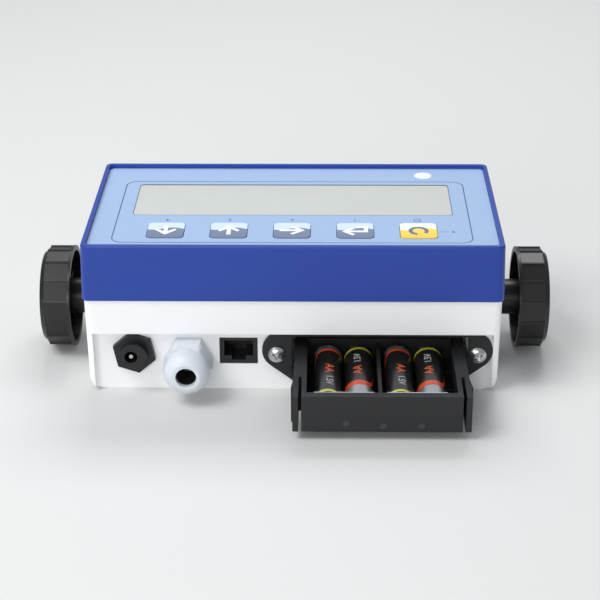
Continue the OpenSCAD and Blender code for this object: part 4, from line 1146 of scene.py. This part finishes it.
@dataclass
class Drawer:
    """Battery drawer with its fingers, contacts and four printed cells."""

    size: CellSize = field(default_factory=CellSize)
    grey: Moulded = Moulded("tray_plastic", srgb(20, 21, 23), 0.46, 0.35, 0.012, 0.1, 0.25)
    mark_grey: Moulded = Moulded("pin_mark_plastic", srgb(48, 50, 53), 0.4, 0.35, 0.01, 0.05, 0.1)
    plate: Metal = Metal("contact_plate", srgb(240, 240, 241), 0.42)
    orange_ink: Print = Print("cell_orange_ink", srgb(226, 92, 34), 0.35)
    silver_ink: Print = Print("cell_silver_ink", srgb(196, 198, 200), 0.35)
    ring_yellow: Colour = srgb(196, 200, 60)
    sweep_orange: Colour = srgb(212, 70, 28)
    end_silver: Colour = srgb(186, 187, 189)
    # The ports sweep is partly print and partly painted shadow: on cells whose nubs point to the ports it is
    # drawn thinner and further back, and black sleeve stands in for the case's shadow over their far ends.
    ports_sweep_painted_shade: Flat = (44.2, 1.9)
    inside_sweep: Flat = (36.5, 4.2)
    mark_size: Point = (3.2, 3.2, 0.06)
    mark_in: float = 0.02
    nubs: tuple[Nub, ...] = (Nub.PORTS, Nub.INSIDE, Nub.PORTS, Nub.INSIDE)
    pin_marks: tuple[Flat, ...] = ((25.9, 9.2), (43.7, 7.7), (62.0, 7.8))

    def dress(self, steel: bpy.types.Material, brass: bpy.types.Material) -> None:
        """Gives the drawer's nodes their finishes.

        Args:
            steel: Finish of the springs and plates.
            brass: Finish of the terminals.
        """
        grey = self.grey.material()
        dress(grey, "battery_drawer", "finger_left", "finger_right", "bay_frame")
        dress(self.plate.material(), "front_contacts", "rear_plates")
        dress(steel, "rear_springs")
        dress(brass, "rear_terminals", "bay_contacts")

    def build(self, rows: RowTree) -> None:
        """Makes the cells and the moulding's round pin marks.

        Args:
            rows: The tree that sets copies in a row.
        """
        orange, silver = self.orange_ink.material(), self.silver_ink.material()
        for number, nub in enumerate(self.nubs, 1):
            self.build_cell(number, nub, orange, silver)
        self.build_pin_marks(rows)

    def build_cell(self, number: int, nub: Nub, orange: bpy.types.Material,
                   silver: bpy.types.Material) -> None:
        """Makes one cell with its nub, rims and printed words.

        Args:
            number: The cell's number.
            nub: Side of its nub.
            orange: Ink of the size mark.
            silver: Ink of the voltage mark.
        """
        node = f"cell_{number}"
        low, high = box_mm(node)
        x, z = (low.x + high.x) / 2, (low.z + high.z) / 2
        start = low.y if nub is Nub.PORTS else high.y
        # Cells with nubs to the ports take the sweep with painted shadow of the case over their far ends.
        sweep = self.ports_sweep_painted_shade if nub is Nub.PORTS else self.inside_sweep
        sleeve = Sleeve(f"{node}_sleeve", (x, z), start, nub, self.ring_yellow, self.sweep_orange,
                        self.end_silver, *sweep)
        s = self.size
        outline = [(0, 0), (s.nub_radius - 0.3, 0), (s.nub_radius, 0.3), (s.nub_radius, s.nub_length - 0.2),
                   (s.nub_radius + 0.5, s.nub_length + 0.35), (s.radius - 1.5, s.nub_length + 0.35),
                   (s.radius - 1.3, s.nub_length), (s.radius - s.rim, s.nub_length),
                   (s.radius, s.nub_length + s.rim), (s.radius, s.length - s.rim),
                   (s.radius - s.rim, s.length - 0.1), (s.radius - 1.3, s.length - 0.1),
                   (s.radius - 1.6, s.length - 0.4), (2.6, s.length - 0.4), (2.3, s.length), (0, s.length)]
        can = piece_from(node + "_can", lambda m: lathe(m, outline, (x, start, z), (0, nub.value, 0), 96),
                         sleeve.material(), 35)
        settle(can, "drawer", "cell", node)
        for words, far, height, ink in (("AA", s.size_far, s.words_height, orange),
                                        ("1.5V", s.volts_far, s.volts_height, silver)):
            place = Matrix.Translation((x, start + nub.value * far, z))
            turn = math.pi if nub is Nub.PORTS else 0
            made = lettering(f"{node}_words_{int(far)}", words, height, place, ink,
                             self.wrap(s.radius + s.ink_t, turn, math.radians(s.words_tilt) * nub.value))
            settle(made, "drawer", "cell")

    @staticmethod
    def wrap(radius: float, turn: float, tilt: float) -> Callable[[Vector], Vector]:
        """Gives the move of flat words, reading along the cell, onto its upper side.

        Args:
            radius: The cell's radius with the ink's thickness.
            turn: Turn of the words in their plane, in radians.
            tilt: Angle of the words' middle from the top, in radians.

        Returns:
            The move of a point.
        """
        def move(spot: Vector) -> Vector:
            """Moves one point."""
            along = math.cos(turn) * spot.x
            round_way = math.cos(turn) * spot.y / radius
            a = tilt - round_way
            return Vector((radius * math.sin(a), along, radius * math.cos(a)))

        return move

    def build_pin_marks(self, rows: RowTree) -> None:
        """Makes the small round marks on the drawer's front.

        Args:
            rows: The tree that sets copies in a row.
        """
        front = box_mm("battery_drawer")[0].y
        finish = self.mark_grey.material()
        for number, (x, z) in enumerate(self.pin_marks, 1):
            made = rows.make(f"pin_mark_{number}", 1, (x, front + self.mark_in, z), (0, 0, 0),
                             self.mark_size, 32, (90, 0, 0), finish)
            settle(made, "drawer", "tray")


@dataclass
class ScrewSize:
    """Sizes of a pan head cross screw in millimetres."""

    head_r: float = 4.25
    head_h: float = 2.6
    edge_h: float = 1.0
    shank_r: float = 2.0
    shank_len: float = 9.0
    recess_r: float = 2.8
    recess_w: float = 1.2
    recess_deep: float = 1.6
    edge_cut: float = 0.12
    tip: float = 0.6


@dataclass
class Ports:
    """Cable gland, sockets and the two frame screws on the port side."""

    screw: ScrewSize = field(default_factory=ScrewSize)
    black: Moulded = Moulded("socket_plastic", srgb(17, 18, 20), 0.4, 0.35, 0.01, 0.08, 0.25)
    cross_turns: Flat = (18, -12)
    gland: Moulded = Moulded("gland_nylon", srgb(214, 220, 226), 0.4, 0.4, 0.01, 0.02, 0.4)

    def dress(self, steel: bpy.types.Material, brass: bpy.types.Material, rubber: bpy.types.Material) -> None:
        """Gives the ports' nodes their finishes.

        Args:
            steel: Finish of the pin and nut.
            brass: Finish of the contacts.
            rubber: Finish of the seal.
        """
        dress(self.black.material(), "power_socket", "data_socket")
        dress(self.gland.material(), "gland_body", "gland_nut", "gland_lock_nut")
        dress(steel, "power_pin", "power_nut")
        dress(brass, "data_contacts")
        dress(rubber, "gland_seal")

    def build(self, steel: bpy.types.Material) -> None:
        """Makes the two cross screws of the bay frame.

        Args:
            steel: Their finish.
        """
        low, high = box_mm("bay_screws")
        front = box_mm("bay_frame")[0].y
        ends = (low.x + self.screw.head_r, high.x - self.screw.head_r)

        def both(shape: bmesh.types.BMesh) -> None:
            """Adds the two screws."""
            for x, turn in zip(ends, self.cross_turns):
                self.add_screw(shape, (x, front, (low.z + high.z) / 2), turn)

        made = piece_from("frame_screws", both, steel, 32)
        settle(made, "case", "steel", "bay_screws")

    def add_screw(self, shape: bmesh.types.BMesh, at: Point, turn: float) -> None:
        """Adds one screw that points to the inside, with a cross cut into its head.

        Args:
            shape: The mesh to add to.
            at: Middle of the head's underside in millimetres.
            turn: The cross's turn in degrees.
        """
        s = self.screw
        single = bmesh.new()
        ball = (s.head_r ** 2 + (s.head_h - s.edge_h) ** 2) / (2 * (s.head_h - s.edge_h))
        dome = [(ball * math.sin(a), s.head_h - ball * (1 - math.cos(a)))
                for a in (math.asin(min(1.0, s.head_r / ball)) * i / 14 for i in range(15))]
        outline = dome + [(s.head_r, s.edge_cut), (s.head_r - s.edge_cut, 0), (s.shank_r, 0),
                          (s.shank_r, -s.shank_len + s.tip), (s.shank_r - s.tip, -s.shank_len),
                          (0, -s.shank_len)]
        lathe(single, outline, at, (0, -1, 0), 64)
        bmesh.ops.recalc_face_normals(single, faces=single.faces)
        body = mesh_object("screw_body", single)
        cross = bmesh.new()
        for quarter in (0, 90):
            self.add_wing(cross, at, turn + quarter)
        bmesh.ops.recalc_face_normals(cross, faces=cross.faces)
        cutter = mesh_object("screw_cross", cross)
        cut = body.modifiers.new("cross", "BOOLEAN")
        cut.operation, cut.object, cut.solver = "DIFFERENCE", cutter, "EXACT"
        cut.use_self = True
        shape.from_mesh(final_mesh(body))
        for used in (body, cutter):
            bpy.data.objects.remove(used)

    def add_wing(self, shape: bmesh.types.BMesh, at: Point, turn: float) -> None:
        """Adds one tapering wing of the cross recess.

        Args:
            shape: The mesh to add to.
            at: Middle of the head's underside in millimetres.
            turn: The wing's turn in degrees.
        """
        s = self.screw
        spin = Matrix.Rotation(math.radians(turn), 3, "Y")
        rows = []
        levels = ((s.head_h + 0.5, s.recess_r + 0.2), (s.head_h - s.recess_deep, s.recess_r * 0.45))
        corners = ((-1, -1), (1, -1), (1, 1), (-1, 1))
        for high, reach in levels:
            spots = [Vector((x * reach, -high, z * s.recess_w / 2)) for x, z in corners]
            rows.append([shape.verts.new((Vector(at) + spin @ spot) * MM) for spot in spots])
        shape.faces.new(rows[0])
        shape.faces.new(rows[1][::-1])
        for i in range(4):
            j = (i + 1) % 4
            shape.faces.new((rows[0][i], rows[0][j], rows[1][j], rows[1][i]))


@dataclass
class Clamps:
    """Side knobs with studs, washers, rubber pads and inserts."""

    knob: Moulded = Moulded("knob_plastic", srgb(13, 13, 14), 0.36, 0.5, 0.02, 0.12, 0.4)

    def dress(self, steel: bpy.types.Material, brass: bpy.types.Material, rubber: bpy.types.Material) -> None:
        """Gives the clamps' nodes their finishes.

        Args:
            steel: Finish of studs and washers.
            brass: Finish of the inserts.
            rubber: Finish of the pads.
        """
        dress(self.knob.material(), "knob_left", "knob_right")
        dress(steel, "stud_left", "stud_right", "washer_left", "washer_right")
        dress(brass, "wall_inserts")
        dress(rubber, "rubber_washers")


@dataclass
class Inside:
    """Boards and small parts inside the case."""

    mask: Board = Board("solder_mask", srgb(24, 92, 56), srgb(48, 124, 78))
    black: Moulded = Moulded("package_plastic", srgb(28, 28, 29), 0.5, 0.3, 0.01, 0.05, 0.15)
    clamp_blue: Moulded = Moulded("clamp_plastic", srgb(44, 84, 150), 0.45, 0.3, 0.01, 0.05, 0.15)
    ribbon: Moulded = Moulded("ribbon_plastic", srgb(172, 174, 178), 0.5, 0.3, 0.01, 0.05, 0.1)
    leg_size: Point = (1.0, 1.4, 0.2)
    leg_out: float = 0.5
    leg_lift: float = 0.15

    def dress(self, steel: bpy.types.Material, brass: bpy.types.Material, rubber: bpy.types.Material) -> None:
        """Gives the inner nodes their finishes.

        Args:
            steel: Finish of the screws.
            brass: Finish of the inserts.
            rubber: Finish of the gasket.
        """
        dress(self.mask.material(), "switch_board", "main_board", "data_board")
        dress(self.black.material(), "key_switches", "board_chips", "buzzer", "ribbon_sockets",
              "display_frame")
        dress(self.clamp_blue.material(), "lead_clamp")
        dress(self.ribbon.material(), "ribbon_cable")
        dress(steel, "switch_board_screws", "main_board_screws", "data_board_screws", "case_screws")
        dress(brass, "bezel_inserts")
        dress(rubber, "seam_gasket")

    def build(self, rows: RowTree, tin: bpy.types.Material) -> None:
        """Makes the legs of the key switches.

        Args:
            rows: The tree that sets copies in a row.
            tin: Finish of the legs.
        """
        low, high = box_mm("key_switches")
        board_top = box_mm("switch_board")[1].z
        pitch = (box_mm("key_5")[0].x - box_mm("key_1")[0].x) / 4
        for name, y in (("near", low.y - self.leg_out), ("far", high.y + self.leg_out)):
            start = (middle("key_1").x, y, board_top + self.leg_lift)
            legs = rows.make(f"switch_legs_{name}", 5, start, (pitch, 0, 0), self.leg_size, 16,
                             (0, 0, 0), tin)
            settle(legs, "case", "steel")


@dataclass
class Lamp:
    """One soft area light."""

    name: str
    at: Point
    towards: Point
    size: Flat
    power: float

    def build(self) -> None:
        """Hangs the light."""
        data = bpy.data.lights.new(self.name, "AREA")
        data.shape, data.size, data.size_y, data.energy = "RECTANGLE", *self.size, self.power
        lamp = add_object(self.name, data)
        lamp.location = self.at
        lamp.rotation_euler = (Vector(self.towards) - Vector(self.at)).to_track_quat("-Z", "Y").to_euler()
        log.info("hung %s", self.name)


@dataclass
class Studio:
    """Floor, soft lights, pale surroundings and the camera with its angles in degrees."""

    backdrop: Colour = srgb(228, 229, 226)
    floor: Colour = srgb(217, 217, 216)
    floor_half: float = 4
    sky: Colour = (0.93, 0.96, 1)
    sky_strength: float = 0.4
    camera_at: Point = (16.3, -758.7, 402.7)
    pitch: float = 25.8
    yaw: float = -1.0
    roll: float = -0.25
    lens: float = 98.99
    lamps: tuple[Lamp, ...] = (
        Lamp("key_light", (-0.7, -0.4, 1.15), (0, 0, 0.03), (0.7, 0.7), 11.0),
        Lamp("front_light", (-0.4, -1.5, 0.55), (0, 0, 0.04), (1.1, 0.5), 8.2),
        Lamp("rear_light", (0.1, 0.85, 1.15), (0, 0, 0.05), (0.8, 0.5), 8.4))

    def build(self) -> None:
        """Sets up floor, lights, surroundings and camera."""
        for lamp in self.lamps:
            lamp.build()
        self.build_floor()
        self.build_world()
        self.build_camera()
        view = bpy.context.scene.view_settings
        view.view_transform, view.look = "Standard", "None"

    def build_floor(self) -> None:
        """Lays the pale floor."""
        finish = ShaderSheet("floor")
        soft = finish.noise(120, 2)
        shade = tuple(c * 0.985 for c in self.floor)
        finish.feed(base_color=finish.mix(soft, shade, self.floor), roughness=0.6)
        mesh = bpy.data.meshes.new("floor")
        low, half = CAD_BOX[0][2], self.floor_half
        corners = [(half * x, half * y, low) for x, y in ((-1, -1), (1, -1), (1, 1), (-1, 1))]
        mesh.from_pydata(corners, [], [(0, 1, 2, 3)])
        mesh.materials.append(finish.material)
        floor = add_object("floor", mesh)

    def build_world(self) -> None:
        """Makes the surroundings: one colour to the camera, soft bluish light to all else."""
        world = bpy.data.worlds.new("studio")
        world.use_nodes = True
        nodes, links = world.node_tree.nodes, world.node_tree.links
        nodes.clear()
        seen = nodes.new("ShaderNodeLightPath").outputs["Is Camera Ray"]
        lit = nodes.new("ShaderNodeBackground")
        lit.inputs["Color"].default_value = (*self.sky, 1)
        lit.inputs["Strength"].default_value = self.sky_strength
        shown = nodes.new("ShaderNodeBackground")
        shown.inputs["Color"].default_value = (*self.backdrop, 1)
        shown.inputs["Strength"].default_value = 1
        both = nodes.new("ShaderNodeMixShader")
        surface = nodes.new("ShaderNodeOutputWorld").inputs["Surface"]
        for source, target in ((seen, both.inputs[0]), (lit.outputs[0], both.inputs[1]),
                               (shown.outputs[0], both.inputs[2]), (both.outputs[0], surface)):
            links.new(source, target)
        bpy.context.scene.world = world

    def build_camera(self) -> None:
        """Sets the camera where the photo was taken from."""
        pitch, yaw, roll = (math.radians(a) for a in (self.pitch, self.yaw, self.roll))
        forward = Vector((math.sin(yaw) * math.cos(pitch), math.cos(yaw) * math.cos(pitch), -math.sin(pitch)))
        level = Vector((math.cos(yaw), -math.sin(yaw), 0))
        above = level.cross(forward)
        right = math.cos(roll) * level + math.sin(roll) * above
        up = math.cos(roll) * above - math.sin(roll) * level
        data = bpy.data.cameras.new("photo_camera")
        data.lens, data.sensor_width, data.clip_start, data.clip_end = self.lens, 36, 0.01, 20
        camera = add_object("photo_camera", data)
        turn = Matrix((right, up, -forward)).transposed().to_4x4()
        camera.matrix_world = Matrix.Translation(Vector(self.camera_at) * MM) @ turn
        bpy.context.scene.camera = camera


def main() -> None:
    """Builds and dresses the sub-assemblies, then the studio."""
    logging.basicConfig(level=logging.INFO, format="%(message)s")
    steel = Metal("bright_steel", srgb(196, 197, 199), 0.24).material()
    brass = Metal("plain_brass", srgb(206, 172, 96), 0.28).material()
    rubber = Rubber("black_rubber", srgb(30, 30, 31)).material()
    rows = RowTree()
    Case().dress()
    panel = Panel()
    panel.dress()
    panel.build()
    Keypad().build()
    drawer = Drawer()
    drawer.dress(steel, brass)
    drawer.build(rows)
    ports = Ports()
    ports.dress(steel, brass, rubber)
    ports.build(steel)
    Clamps().dress(steel, brass, rubber)
    inside = Inside()
    inside.dress(steel, brass, rubber)
    inside.build(rows, steel)
    Studio().build()


if __name__ == "__main__":
    main()
